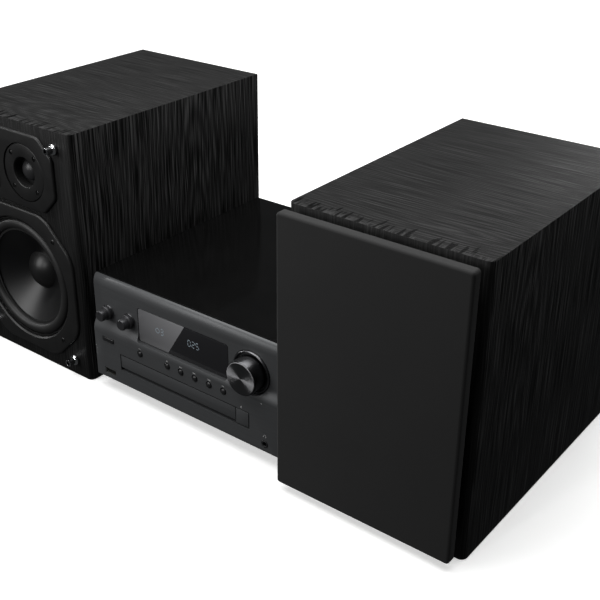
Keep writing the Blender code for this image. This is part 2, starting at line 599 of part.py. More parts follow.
def rack_outline():
    """A comb of straight-sided teeth along the tray, its pitch line through the gear's rim."""
    points = [(RACK_X - 0.0040, 0.0183), (RACK_X - TOOTH_REACH, 0.0183)]
    first = math.ceil((0.020 - GEAR_Y) / TOOTH_PITCH)
    last = math.floor((TRAY_LENGTH - 0.002 - GEAR_Y) / TOOTH_PITCH)
    root, tip = RACK_X - TOOTH_REACH, RACK_X + TOOTH_REACH * 0.8
    for index in range(first, last):
        middle = GEAR_Y + (index + 0.5) * TOOTH_PITCH
        wide = TOOTH_PITCH / 4 - TOOTH_SLIM / 2 + 0.0003
        slim = TOOTH_PITCH / 4 - TOOTH_SLIM / 2 - 0.0003
        points += [(root, middle - wide), (tip, middle - slim),
                   (tip, middle + slim), (root, middle + wide)]
    end = TRAY_LENGTH - 0.0006
    return points + [(RACK_X - TOOTH_REACH, end), (RACK_X - 0.0040, end)]


def gear_outline():
    """Straight-sided teeth round the pitch circle, one of them pointing at the rack."""
    points = []
    for index in range(GEAR_TEETH):
        middle = math.pi + 2 * math.pi * index / GEAR_TEETH
        for radius, half in ((PITCH_RADIUS - TOOTH_REACH, 0.60), (PITCH_RADIUS + TOOTH_REACH * 0.8,
                                                                  0.24)):
            spread = half * (TOOTH_PITCH / 2 - TOOTH_SLIM / 2) / PITCH_RADIUS
            points.append((radius, middle - spread, middle + spread))
    outline = []
    for root, tip in zip(points[0::2], points[1::2]):
        for radius, angle in ((root[0], root[1]), (tip[0], tip[1]), (tip[0], tip[2]),
                              (root[0], root[2])):
            outline.append((radius * math.cos(angle), radius * math.sin(angle)))
    return outline


rack = outline_plate("rack", [(x, at(y)) for x, y in rack_outline()], RACK_HIGH - RACK_LOW,
                     (0, 0, (RACK_LOW + RACK_HIGH) / 2), None, (0, 0, 0))
join(tray, rack)
gear_x = RACK_X + PITCH_RADIUS
gear = outline_plate("tray_drive_gear", gear_outline(), GEAR_THICKNESS,
                     (gear_x, at(GEAR_Y), GEAR_Z), WHITE_PLASTIC, (0, 0, 0))
join(gear, cylinder("gear_shaft", (gear_x, at(GEAR_Y), (SHAFT_BOTTOM + SHAFT_TOP) / 2),
                    SHAFT_RADIUS, SHAFT_TOP - SHAFT_BOTTOM, None, (0, 0, 0), 16))

frame_half = TRAY_HALF + 0.0025
mechanism = unit_block("cd_mechanism", (TRAY_X - frame_half - 0.003, TRAY_X + frame_half + 0.003),
                       (0.0120, 0.192), (0.0230, 0.0480), BLACK_PLASTIC)
cut(mechanism,
    unit_block("mechanism_bay", (TRAY_X - frame_half, TRAY_X + frame_half), (0.0, 0.188),
               (0.0255, 0.06)),
    cylinder("gear_shaft_hole", (gear_x, at(GEAR_Y), 0.026), SHAFT_RADIUS + 0.0004, 0.02, None,
             (0, 0, 0), 20),
    cylinder("spindle_hole", (TRAY_X, at(DISC_Y), 0.026), 0.0030, 0.02, None, (0, 0, 0), 20))

turned("disc_turntable", [(0.0, 0.0425), (0.0060, 0.0415), (0.0073, 0.0385), (0.0142, 0.0380),
                          (0.0142, 0.0360), (0.0026, 0.0350), (0.0026, 0.0235),
                          (0.0, 0.0235)], (TRAY_X, at(DISC_Y), 0),
       BLACK_PLASTIC, (0, 0, 0), steps=20)
sled = unit_block("laser_sled", (TRAY_X - 0.017, TRAY_X + 0.017), (DISC_Y + 0.018, DISC_Y + 0.044),
                  (0.0262, 0.0350), STEEL)
join(sled, cylinder("laser_lens", (TRAY_X, at(DISC_Y + 0.027), 0.0355), 0.0035, 0.0040, None,
                    (0, 0, 0), 16))


# ---- Main unit: electronics and rear sockets --------------------------------------------------
main_board = unit_block("main_board", (-0.098, 0.098), (0.024, 0.2200), (0.0140, 0.0156),
                        BOARD_GREEN)
for x, y, radius, height in ((0.082, 0.175, 0.009, 0.026), (0.082, 0.150, 0.009, 0.026),
                             (0.085, 0.120, 0.006, 0.016), (-0.088, 0.120, 0.006, 0.016)):
    join(main_board, cylinder("capacitor", (x, at(y), 0.0150 + height / 2), radius, height, None,
                              (0, 0, 0), 16))

supply = unit_block("power_supply", (-0.095, -0.005), (0.060, 0.190), (0.0560, 0.0580),
                    BOARD_GREEN)
join(supply,
     unit_block("transformer", (-0.070, -0.032), (0.110, 0.152), (0.0570, 0.0950)),
     cylinder("supply_capacitor_a", (-0.020, at(0.085), 0.0720), 0.0110, 0.0300, None, (0, 0, 0),
              16),
     cylinder("supply_capacitor_b", (-0.048, at(0.085), 0.0720), 0.0110, 0.0300, None, (0, 0, 0),
              16))

FINS = 9
fin_pitch = 0.0095
fin_start = 0.012
sink = unit_block("heat_sink", (fin_start, fin_start + fin_pitch * (FINS - 1) + 0.0025),
                  (0.070, 0.185), (0.0560, 0.0610), ALUMINIUM)
for fin in range(FINS):
    left = fin_start + fin_pitch * fin
    join(sink, unit_block("fin", (left + 0.0001, left + 0.0024), (0.0701, 0.1849),
                          (0.0600, 0.0960)))

posts = unit_block("speaker_terminals", (-0.0496, 0.0036), (0.2180, 0.2285), (0.0264, 0.0576),
                   BLACK_PLASTIC)
join(posts, unit_block("terminal_bezel", (-0.0530, 0.0070), (UNIT_DEPTH + GAP, 0.2320),
                       (0.0230, 0.0610)),
     unit_block("terminal_neck", (-0.0480, 0.0020), (0.2200, 0.2310), (0.0280, 0.0560)))
for x in (-0.0380, -0.0080):
    for z in (0.0345, 0.0500):
        join(posts, cylinder("terminal_cap", (x, at(0.2370), z), 0.0058, 0.0120, sides=16))

inlet = unit_block("ac_inlet", (0.0624, 0.0876), (0.2120, 0.2305), (0.0264, 0.0456),
                   BLACK_PLASTIC)
cut(inlet, outline_plate("inlet_well", fillet(rectangle(0.0665, 0.0308, 0.0835, 0.0412), 0.0048),
                         0.0120, (0, at(0.2260), 0)))

jacks = unit_block("audio_jacks", (-0.0916, -0.0604), (0.2160, 0.2302), (0.0304, 0.0576),
                   BLACK_PLASTIC)
for x in (-0.0835, -0.0685):
    for z in (0.0375, 0.0505):
        join(jacks, cylinder("jack_collar", (x, at(0.2340), z), 0.0042, 0.0100, sides=12))
        cut(jacks, cylinder("jack_bore", (x, at(0.2360), z), 0.0027, 0.0100, sides=12))
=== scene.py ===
import json
import math

import bmesh
import bpy
from mathutils import Matrix, Vector

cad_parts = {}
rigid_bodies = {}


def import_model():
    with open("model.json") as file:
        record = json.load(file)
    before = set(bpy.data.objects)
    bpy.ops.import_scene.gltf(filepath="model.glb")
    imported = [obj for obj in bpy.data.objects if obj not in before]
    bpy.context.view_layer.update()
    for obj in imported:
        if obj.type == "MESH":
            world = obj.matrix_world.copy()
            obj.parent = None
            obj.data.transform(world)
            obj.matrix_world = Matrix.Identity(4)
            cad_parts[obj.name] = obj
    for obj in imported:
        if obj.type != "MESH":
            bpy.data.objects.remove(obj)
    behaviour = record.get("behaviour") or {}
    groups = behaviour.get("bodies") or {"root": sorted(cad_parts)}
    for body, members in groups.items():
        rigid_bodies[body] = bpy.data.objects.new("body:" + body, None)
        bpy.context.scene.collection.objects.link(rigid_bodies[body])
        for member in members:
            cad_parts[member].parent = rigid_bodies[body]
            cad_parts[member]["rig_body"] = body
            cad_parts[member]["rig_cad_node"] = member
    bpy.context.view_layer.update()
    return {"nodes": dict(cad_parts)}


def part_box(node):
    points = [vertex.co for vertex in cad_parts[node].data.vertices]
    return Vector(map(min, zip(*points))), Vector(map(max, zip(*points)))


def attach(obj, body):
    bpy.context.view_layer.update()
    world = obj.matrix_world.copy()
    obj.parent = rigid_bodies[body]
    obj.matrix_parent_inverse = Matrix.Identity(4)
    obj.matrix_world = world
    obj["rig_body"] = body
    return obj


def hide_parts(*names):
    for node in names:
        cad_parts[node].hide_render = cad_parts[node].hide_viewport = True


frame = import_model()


# ---- Camera ----
# A three-quarter view from the right and above, close in on the main unit, so that the left
# speaker's outer half and the right speaker's rear run out of the frame.
CAMERA_AZIMUTH = math.radians(38.366)
CAMERA_ELEVATION = math.radians(26.726)
CAMERA_DISTANCE = 0.7487
CAMERA_TARGET = Vector((0.1117, -0.1135, 0.1725))

camera_data = bpy.data.cameras.new("front_quarter")
camera_data.lens = 61.445
camera_data.shift_x = 0.02715
camera_data.shift_y = -0.02734
camera_data.clip_start = 0.02
camera = bpy.data.objects.new("front_quarter", camera_data)
bpy.context.scene.collection.objects.link(camera)
outwards = Vector((math.sin(CAMERA_AZIMUTH) * math.cos(CAMERA_ELEVATION),
                   -math.cos(CAMERA_AZIMUTH) * math.cos(CAMERA_ELEVATION),
                   math.sin(CAMERA_ELEVATION)))
camera.location = CAMERA_TARGET + outwards * CAMERA_DISTANCE
camera.rotation_euler = (-outwards).to_track_quat("-Z", "Y").to_euler()
bpy.context.scene.camera = camera
bpy.context.scene.view_settings.view_transform = "Standard"


# ---- Floor and studio light ----
# A pale painted floor under one large overhead softbox, with weaker ones in front and behind and
# two narrow strips for the metal. The room itself is dim, so that lacquer and vinyl stay deep.
FLOOR_SIZE = 60.0
FLOOR_DROP = 0.0002
FLOOR_GLOW = 0.5
ROOM_LIGHT = 0.06


def linear(code):
    """An sRGB hex colour as linear red, green, blue and alpha."""
    channels = [int(code[i:i + 2], 16) / 255 for i in (1, 3, 5)]
    return tuple(c / 12.92 if c <= 0.04045 else ((c + 0.055) / 1.055) ** 2.4
                 for c in channels) + (1.0,)


def add(tree, kind, inputs, output=0, **settings):
    """Adds a node with its settings and links, and gives back one of its outputs."""
    node = tree.nodes.new("ShaderNode" + kind)
    for key, value in settings.items():
        setattr(node, key, value)
    for key, value in inputs.items():
        if isinstance(value, bpy.types.NodeSocket):
            tree.links.new(value, node.inputs[key])
        else:
            node.inputs[key].default_value = value
    return node.outputs[output]


def new_material(name):
    """An empty material and its node tree, with only the output left in it."""
    material = bpy.data.materials.new(name)
    material.use_nodes = True
    tree = material.node_tree
    tree.nodes.remove(tree.nodes["Principled BSDF"])
    return material, tree


def show(tree, shader):
    """Joins a finished shader to the material's output."""
    tree.links.new(shader, tree.nodes["Material Output"].inputs["Surface"])


# Emulsion paint on the studio floor: rolled, so very slightly mottled over some 40 mm.
floor_paint, tree = new_material("pale_floor_paint")
place = add(tree, "TexCoord", {}, "Object")
mottle = add(tree, "TexNoise", {"Vector": place, "Scale": 25.0, "Detail": 2.0})
shade = add(tree, "Mix", {0: mottle, 6: linear("#f4f4f3"), 7: linear("#f8f8f8")},
            output=2, data_type="RGBA")
show(tree, add(tree, "BsdfPrincipled", {
    "Base Color": shade, "Roughness": 0.9, "Specular IOR Level": 0.1, "Emission Color": shade,
    "Emission Strength": FLOOR_GLOW}))

bpy.ops.object.select_all(action="DESELECT")
bpy.ops.mesh.primitive_plane_add(size=FLOOR_SIZE, location=(0, 0, -FLOOR_DROP))
floor = bpy.context.object
floor.name = "studio_floor"
floor.data.materials.append(floor_paint)
# The floor stays out of the object's reflections, as if black card stood round it.
floor.visible_glossy = False
floor.visible_diffuse = False


def softbox(name, location, aim, width, height, power):
    """A rectangular area light that faces the aim point."""
    data = bpy.data.lights.new(name, "AREA")
    data.shape = "RECTANGLE"
    data.size = width
    data.size_y = height
    data.energy = power
    lamp = bpy.data.objects.new(name, data)
    bpy.context.scene.collection.objects.link(lamp)
    lamp.location = location
    lamp.rotation_euler = (Vector(aim) - Vector(location)).to_track_quat("-Z", "Y").to_euler()


softbox("overhead_softbox", (-0.3, 0.1, 1.9), (0.0, 0.0, 0.0), 2.6, 2.2, 62.0)
softbox("front_softbox", (-1.1, -1.9, 0.9), (0.0, 0.0, 0.1), 0.9, 1.2, 16.0)
softbox("front_strip", (-0.1, -2.0, 0.85), (0.0, 0.0, 0.1), 0.05, 0.7, 4.5)
softbox("rear_softbox", (0.0, 2.0, 0.7), (0.0, 0.0, 0.1), 0.9, 0.9, 6.0)
softbox("left_strip", (-2.0, -0.55, 0.75), (0.0, 0.0, 0.1), 0.05, 0.7, 6.0)

room = bpy.data.worlds.new("dim_room")
room.use_nodes = True
background = room.node_tree.nodes["Background"]
background.inputs["Color"].default_value = linear("#d8dadc")
background.inputs["Strength"].default_value = ROOM_LIGHT
bpy.context.scene.world = room


# ---- Speaker cabinets ----
# Fibreboard boxes wrapped in black vinyl foil, printed and embossed as open-pored wood. The side
# foil goes round the front corners; the baffle's own edge shows as a strip along the top's front.
CORNER_RADIUS = 0.0055
BOARD_EDGE = 0.0006
BAFFLE_BOARD = 0.015
CABINET_WALL = 0.012
BACK_INSET = 0.003
WOOFER_HEIGHT = 0.0834
TWEETER_INWARD = 0.0185
TWEETER_HEIGHT = 0.1922
SUPER_TWEETER_OUTWARD = 0.036
SUPER_TWEETER_HEIGHT = 0.180
PORT_HEIGHT = 0.178
TERMINAL_HEIGHT = 0.055
baffle_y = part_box("left_cabinet")[0].y
cabinet_back_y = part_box("left_cabinet")[1].y
SIDES = (("left", -1), ("right", 1))
WOOFER_HOLE = 0.0602
TWEETER_HOLE = 0.0205
SUPER_TWEETER_HOLE = 0.016
PORT_HOLE = 0.0200
CUP_HALF_WIDTH = 0.031
CUP_HALF_HEIGHT = 0.026
REBATE_EDGE = 0.009
CUT_LENGTH = 0.05
# For every piece: edges shorter than this aren't bevelled, points closer than this are level,
# points closer than this are merged, and faces that meet at less than this angle shade smoothly.
SHORTEST_EDGE = 0.0001
SAME_PLACE = 1e-6
MERGE = 0.000002
SMOOTH_ANGLE = math.radians(30)
# The foil's figure repeats, mirrored, over this width.
FIGURE_WIDTH = 0.30
# How far the trunk wanders to either side, and how fast the figure narrows along the board.
WANDER = 0.008
TAPER = 0.13
# Steps of pore noise to the metre: over the grain and with it.
PORES_ACROSS = 950.0
PORES_ALONG = 15.0


def wood_vinyl(name, along, across, heart, pitch, dark, light, gloss, fold=None):
    """Vinyl foil with a wood figure: rings cut lengthwise, and short embossed pores along them.

    along and across point with the grain and over it; across may serve two faces at once. heart
    is where the figure's middle lies. fold is the depth of the front edge, where the baffle's
    foil, folded back over the top, runs out in uneven strokes.
    """
    material, tree = new_material(name)
    place = add(tree, "TexCoord", {}, "Object")
    u = add(tree, "VectorMath", {0: place, 1: along}, output="Value", operation="DOT_PRODUCT")
    v = add(tree, "VectorMath", {0: place, 1: across}, output="Value", operation="DOT_PRODUCT")
    slow_u = add(tree, "Math", {0: u, 1: 0.28}, operation="MULTIPLY")
    sheet = add(tree, "CombineXYZ", {0: v, 1: slow_u})
    # The trunk wanders over some 70 mm, and its rings are cut nearly along their axis.
    wander = add(tree, "TexNoise", {"Vector": sheet, "Scale": 14.0, "Detail": 3.0,
                                    "Roughness": 0.5})
    shift = add(tree, "MapRange", {0: wander, 3: -WANDER, 4: WANDER})
    strayed = add(tree, "Math", {0: v, 1: shift}, operation="ADD")
    offset = add(tree, "Math", {0: strayed, 1: heart[0]}, operation="SUBTRACT")
    offset = add(tree, "Math", {0: offset, 1: FIGURE_WIDTH / 2}, operation="PINGPONG")
    rise = add(tree, "Math", {0: u, 1: heart[1]}, operation="SUBTRACT")
    rise = add(tree, "Math", {0: rise, 1: TAPER}, operation="MULTIPLY")
    flat = add(tree, "CombineXYZ", {0: offset, 1: rise, 2: 0.004})
    radius = add(tree, "VectorMath", {0: flat}, output="Value", operation="LENGTH")
    turns = add(tree, "Math", {0: radius, 1: 2 * math.pi / pitch}, operation="MULTIPLY")
    rings = add(tree, "Math", {0: turns}, operation="SINE")
    rings = add(tree, "MapRange", {0: rings, 1: -1.0, 2: 1.0, 3: 0.40, 4: 1.0})
    # Pores: dashes 2 mm apart and 60 mm long, drawn about three times as coarse as real ones.
    stretched = add(tree, "CombineXYZ", {
        0: add(tree, "Math", {0: strayed, 1: PORES_ACROSS}, operation="MULTIPLY"),
        1: add(tree, "Math", {0: u, 1: PORES_ALONG}, operation="MULTIPLY")})
    pores = add(tree, "TexNoise", {"Vector": stretched, "Scale": 1.0, "Detail": 2.0,
                                   "Roughness": 0.6})
    pores = add(tree, "MapRange", {0: pores, 1: 0.43, 2: 0.63})
    relief = add(tree, "Math", {0: rings, 1: pores}, operation="MULTIPLY")
    colour = add(tree, "Mix", {0: relief, 6: linear(dark), 7: linear(light)},
                 output=2, data_type="RGBA")
    if fold is not None:
        # Strokes 4 mm apart. Most of their ends reach back between 6 and 14 mm.
        end_grain = add(tree, "CombineXYZ", {
            0: add(tree, "Math", {0: u, 1: 300.0}, operation="MULTIPLY"),
            1: add(tree, "Math", {0: v, 1: 40.0}, operation="MULTIPLY")})
        stroke = add(tree, "TexNoise", {"Vector": end_grain, "Scale": 1.0, "Detail": 1.0})
        reach = add(tree, "MapRange", {0: stroke, 1: 0.3, 2: 0.7, 3: fold + 0.018,
                                       4: fold - 0.002})
        inside = add(tree, "Math", {0: reach, 1: v}, operation="SUBTRACT")
        inside = add(tree, "MapRange", {0: inside, 1: 0.0, 2: 0.002})
        inked = add(tree, "MapRange", {0: stroke, 1: 0.42, 2: 0.54, 3: 1.0, 4: 0.0})
        folded = add(tree, "Mix", {0: inked, 6: linear(light), 7: linear("#040404")},
                     output=2, data_type="RGBA")
        colour = add(tree, "Mix", {0: inside, 6: colour, 7: folded}, output=2, data_type="RGBA")
    sheen = add(tree, "MapRange", {0: relief, 3: 0.55, 4: 0.38})
    bump = add(tree, "Bump", {"Height": relief, "Strength": 0.55, "Distance": 0.0003})
    show(tree, add(tree, "BsdfPrincipled", {
        "Base Color": colour, "Roughness": sheen, "Normal": bump, "Specular IOR Level": gloss}))
    return material


# The side foil's grain stands upright and is carried round the corners onto the baffle.
side_vinyl = wood_vinyl("black_oak_vinyl_upright", (0, 0, 1), (1, 1, 0), (0.225, 0.02), 0.0046,
                        "#010101", "#5c5c5c", 0.2)
# The same foil where it lies on the baffle, with finer rings and a little more gloss. Its darker
# colours are painted shade for the front face.
baffle_vinyl_painted_shade = wood_vinyl("black_oak_vinyl_baffle_painted_shade", (0, 0, 1), (1, 1, 0), (0.225, 0.02), 0.0030,
                          "#090909", "#2a2a2a", 0.25)
# The lid's foil lies crossways, with its figure towards the front. Its paler, flatter colours are
# painted light on the top.
lid_vinyl_painted_light = wood_vinyl("black_oak_vinyl_lid_painted_light", (1, 0, 0), (0, 1, 0), (-0.083, 0.19), 0.0030,
                       "#1c1c1c", "#3a3a3a", 0.06, baffle_y)


def middle_of(prefix):
    """Where the middle of one speaker lies across the set."""
    low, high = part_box(prefix + "_cabinet")
    return (low.x + high.x) / 2


def add_box(name, low, high):
    """A cube primitive stretched between two corners, selected alone, its place in its mesh."""
    low, high = Vector(low), Vector(high)
    bpy.ops.object.select_all(action="DESELECT")
    bpy.ops.mesh.primitive_cube_add(size=1.0, location=(low + high) / 2)
    piece = bpy.context.object
    piece.name = piece.data.name = name
    piece.scale = high - low
    bpy.ops.object.transform_apply(location=True, rotation=True, scale=True)
    return piece


def add_rod(name, centre, radius, length, sides=64):
    """A cylinder primitive along Y, selected alone, its place in its mesh."""
    bpy.ops.object.select_all(action="DESELECT")
    bpy.ops.mesh.primitive_cylinder_add(vertices=sides, radius=radius, depth=length,
                                        location=centre, rotation=(math.pi / 2, 0, 0))
    piece = bpy.context.object
    piece.name = piece.data.name = name
    bpy.ops.object.transform_apply(location=True, rotation=True, scale=True)
    return piece


def pick(piece):
    """Selects one piece alone and makes it the active one."""
    bpy.ops.object.select_all(action="DESELECT")
    piece.select_set(True)
    bpy.context.view_layer.objects.active = piece


def bevel_edges(piece, width, segments, test):
    """Bevels, in edit mode, the edges whose two ends pass the test."""
    pick(piece)
    bpy.ops.object.mode_set(mode="EDIT")
    bpy.ops.mesh.select_mode(type="EDGE")
    bpy.ops.mesh.select_all(action="DESELECT")
    shape = bmesh.from_edit_mesh(piece.data)
    for edge in shape.edges:
        edge.select_set(test(edge.verts[0].co, edge.verts[1].co))
    bmesh.update_edit_mesh(piece.data)
    bpy.ops.mesh.bevel(offset=width, segments=segments, affect="EDGES", clamp_overlap=True)
    bpy.ops.object.mode_set(mode="OBJECT")


def runs_along(axis):
    """A test for edges that run along one axis, 0, 1 or 2, and aren't mere chips."""
    others = [i for i in range(3) if i != axis]

    def test(a, b):
        return (abs(a[axis] - b[axis]) > SHORTEST_EDGE and
                all(abs(a[i] - b[i]) < SAME_PLACE for i in others))
    return test


def lies_at(axis, value):
    """A test for edges that lie in one plane across an axis."""
    return lambda a, b: (abs(a[axis] - value) < SAME_PLACE and
                         abs(b[axis] - value) < SAME_PLACE)


def shape_by(piece, kind, **settings):
    """Adds one modifier to a piece and applies it."""
    pick(piece)
    modifier = piece.modifiers.new(kind.lower(), kind)
    for key, value in settings.items():
        setattr(modifier, key, value)
    bpy.ops.object.modifier_apply(modifier=modifier.name)


def carve(piece, *tools):
    """Cuts each tool out of a piece and throws the tool away."""
    for tool in tools:
        shape_by(piece, "BOOLEAN", operation="DIFFERENCE", solver="EXACT", object=tool)
        bpy.data.objects.remove(tool)


def fit(piece, body, slot, materials, *nodes):
    """Shades a finished piece, gives it its materials, and fixes it in place of its nodes."""
    pick(piece)
    bpy.ops.object.shade_smooth_by_angle(angle=SMOOTH_ANGLE)
    if not isinstance(materials, (list, tuple)):
        materials = [materials]
    indices = [face.material_index for face in piece.data.polygons]
    piece.data.materials.clear()
    for material in materials:
        piece.data.materials.append(material)
    if len(materials) > 1:
        for face, index in zip(piece.data.polygons, indices):
            face.material_index = min(index, len(materials) - 1)
    if nodes:
        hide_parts(*nodes)
    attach(piece, body)
    return piece


for prefix, side in SIDES:
    low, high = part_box(prefix + "_cabinet")
    x = middle_of(prefix)
    cabinet = add_box(prefix + "_cabinet_shell", low, high)
    bevel_edges(cabinet, CORNER_RADIUS, 10,
                lambda a, b: runs_along(2)(a, b) and a.y < baffle_y + 0.001)
    bevel_edges(cabinet, BOARD_EDGE, 2,
                lambda a, b: lies_at(2, high.z)(a, b) or lies_at(2, low.z)(a, b))
    board_back = cabinet_back_y - BACK_INSET
    carve(cabinet,
          add_box("hollow", (low.x + CABINET_WALL, low.y + BAFFLE_BOARD, CABINET_WALL),
                  (high.x - CABINET_WALL, board_back - CABINET_WALL, high.z - CABINET_WALL)),
          add_box("back_rebate", (low.x + REBATE_EDGE, board_back, REBATE_EDGE),
                  (high.x - REBATE_EDGE, high.y + 0.01, high.z - REBATE_EDGE)),
          add_rod("woofer_hole", (x, baffle_y, WOOFER_HEIGHT), WOOFER_HOLE, CUT_LENGTH),
          add_rod("tweeter_hole", (x - side * TWEETER_INWARD, baffle_y, TWEETER_HEIGHT),
                  TWEETER_HOLE, CUT_LENGTH),
          add_rod("super_tweeter_hole",
                  (x + side * SUPER_TWEETER_OUTWARD, baffle_y, SUPER_TWEETER_HEIGHT),
                  SUPER_TWEETER_HOLE, CUT_LENGTH),
          add_rod("port_hole", (x, cabinet_back_y, PORT_HEIGHT), PORT_HOLE, CUT_LENGTH),
          add_box("cup_hole",
                  (x - CUP_HALF_WIDTH, board_back - 0.02, TERMINAL_HEIGHT - CUP_HALF_HEIGHT),
                  (x + CUP_HALF_WIDTH, board_back + 0.02, TERMINAL_HEIGHT + CUP_HALF_HEIGHT)))
    for face in cabinet.data.polygons:
        on_lid = face.normal.z > 0.9 and face.center.z > high.z - 0.001
        face.material_index = 1 if on_lid else 2 if face.normal.y < -0.5 else 0
    fit(cabinet, prefix + "_speaker", "cabinet_vinyl", [side_vinyl, lid_vinyl_painted_light, baffle_vinyl_painted_shade],
        prefix + "_cabinet")


# ---- Woofer trim plates and screws ----
# Eight-sided frames moulded in black ABS, with rounded corners and a soft front edge that catches
# the light. Four black cross-head screws hold each plate and the basket to the baffle.
PLATE_HALF = 0.0713
PLATE_CUT = 0.034
PLATE_CORNER = 0.0100
PLATE_RAISE = 0.0028
PLATE_EDGE = 0.0018
PLATE_STEP = 0.0013
GLUE_GAP = 0.0002
SCREW_X = 0.048
SCREW_Z = 0.050
SCREW_RADIUS = 0.0026
CORNERS = ((-1, 1), (1, 1), (1, -1), (-1, -1))


def grained(name, colour, shine, grain_mm, depth, spread=0.06, metallic=0.0):
    """An even finish: a fine grain of the given size, and slow clouds where it has been handled.

    shine is its middle roughness, which the clouds shift by spread either way.
    """
    material, tree = new_material(name)
    place = add(tree, "TexCoord", {}, "Object")
    grain = add(tree, "TexNoise", {"Vector": place, "Scale": 1000 / grain_mm, "Detail": 2.0,
                                   "Roughness": 0.6})
    cloud = add(tree, "TexNoise", {"Vector": place, "Scale": 60.0, "Detail": 3.0})
    base = linear(colour)
    worn = tuple(min(1.0, c * 1.5 + 0.002) for c in base[:3]) + (1.0,)
    shade = add(tree, "Mix", {0: cloud, 6: base, 7: worn}, output=2, data_type="RGBA")
    rough = add(tree, "MapRange", {0: cloud, 3: shine - spread, 4: shine + spread})
    bump = add(tree, "Bump", {"Height": grain, "Strength": 0.5, "Distance": depth})
    show(tree, add(tree, "BsdfPrincipled", {
        "Base Color": shade, "Roughness": rough, "Normal": bump, "Metallic": metallic}))
    return material


# Black ABS from an etched mould: a satin face, drawn with 0.7 mm grain.
trim_abs = grained("satin_black_abs_trim", "#131313", 0.40, 0.7, 0.00003)
# Black-oxide steel: dark, with the thin shine of an oiled surface.
screw_steel = grained("black_oxide_screw", "#0c0c0c", 0.30, 0.3, 0.00002)


def turned(name, centre, profile, steps=64, axis=(0, -1, 0), closed=False):
    """A lathe piece: a profile of (radius, height) points, spun once round its axis."""
    centre, axis = Vector(centre), Vector(axis)
    points = [centre + Vector((radius, 0, 0)) + axis * height for radius, height in profile]
    edges = [(i, i + 1) for i in range(len(points) - 1)]
    if closed:
        edges.append((len(points) - 1, 0))
    mesh = bpy.data.meshes.new(name)
    mesh.from_pydata(points, edges, [])
    piece = bpy.data.objects.new(name, mesh)
    bpy.context.scene.collection.objects.link(piece)
    pick(piece)
    bpy.ops.object.mode_set(mode="EDIT")
    bpy.ops.mesh.select_all(action="SELECT")
    bpy.ops.mesh.spin(steps=steps, angle=2 * math.pi, center=centre, axis=axis)
    bpy.ops.mesh.select_all(action="SELECT")
    bpy.ops.mesh.remove_doubles(threshold=MERGE)
    bpy.ops.mesh.normals_make_consistent(inside=False)
    bpy.ops.object.mode_set(mode="OBJECT")
    return piece


def copy_to(piece, name, move):
    """A copy of a finished piece with its own mesh, moved in the mesh."""
    twin = piece.copy()
    twin.data = piece.data.copy()
    twin.name = twin.data.name = name
    bpy.context.scene.collection.objects.link(twin)
    twin.data.transform(Matrix.Translation(Vector(move)))
    return twin


def screw(name, place, radius):
    """A cross-head screw seen from its head, which stands a little proud of place."""
    head = turned(name, place, [(0.0, radius * 0.34), (radius * 0.6, radius * 0.30),
                                (radius * 0.9, radius * 0.16), (radius, 0.0), (0.0, 0.0)], 24)
    arm, slit, depth = radius * 0.58, radius * 0.14, radius * 0.30
    y = place[1] - radius * 0.34
    for across, up in ((arm, slit), (slit, arm)):
        carve(head, add_box("cross_slot", (place[0] - across, y - 0.001, place[2] - up),
                            (place[0] + across, y + depth, place[2] + up)))
    return head


def screws(stem, spots, radius):
    """Screws at several spots: the first is modelled, and the others are copies of it."""
    heads = [screw(stem + "1", spots[0], radius)]
    for number, spot in enumerate(spots[1:], 2):
        heads.append(copy_to(heads[0], stem + str(number), Vector(spot) - Vector(spots[0])))
    return heads


for prefix, side in SIDES:
    x = middle_of(prefix)
    front = baffle_y - PLATE_RAISE
    plate = add_box(prefix + "_woofer_trim", (x - PLATE_HALF, front, WOOFER_HEIGHT - PLATE_HALF),
                    (x + PLATE_HALF, baffle_y - GLUE_GAP, WOOFER_HEIGHT + PLATE_HALF))
    bevel_edges(plate, PLATE_CUT, 1, runs_along(1))
    bevel_edges(plate, PLATE_CORNER, 6, runs_along(1))
    bevel_edges(plate, PLATE_EDGE, 4, lies_at(1, front))
    carve(plate,
          turned("plate_bore", (x, baffle_y, WOOFER_HEIGHT),
                 [(0.0, 0.01), (WOOFER_HOLE + PLATE_STEP, 0.01),
                  (WOOFER_HOLE + PLATE_STEP, PLATE_RAISE - 0.0001), (WOOFER_HOLE, 0.0015),
                  (WOOFER_HOLE, -0.01), (0.0, -0.01)], 96))
    fit(plate, prefix + "_speaker", "driver_trim", trim_abs, prefix + "_woofer_plate")
    spots = [(x + across * SCREW_X, front + 0.0001, WOOFER_HEIGHT + up * SCREW_Z)
             for across, up in CORNERS]
    for head in screws(prefix + "_woofer_screw_", spots, SCREW_RADIUS):
        fit(head, prefix + "_speaker", "driver_trim", screw_steel)


# ---- Woofer cones ----
# A pressed polypropylene cone, a butyl rubber half-roll glued round it, and a dust cap glued over
# the voice coil. All three move together.
SURROUND_INNER = 0.0480
SURROUND_OUTER = 0.0575
ROLL_HEIGHT = 0.0040
CONE_DEPTH = 0.0175
CONE_OUTER = SURROUND_INNER - 0.0004
CONE_NECK = 0.0155
CAP_SEAT = -0.0193
CAP_RADIUS = 0.0185
CAP_HEIGHT = 0.0090
SEAT_DEPTH = 0.0022


def arc(centre, radius_r, radius_h, start, end, count):
    """Points (radius, height) along part of an ellipse, angles in degrees."""
    span = [math.radians(start + (end - start) * i / count) for i in range(count + 1)]
    return [(centre[0] + radius_r * math.cos(a), centre[1] + radius_h * math.sin(a))
            for a in span]


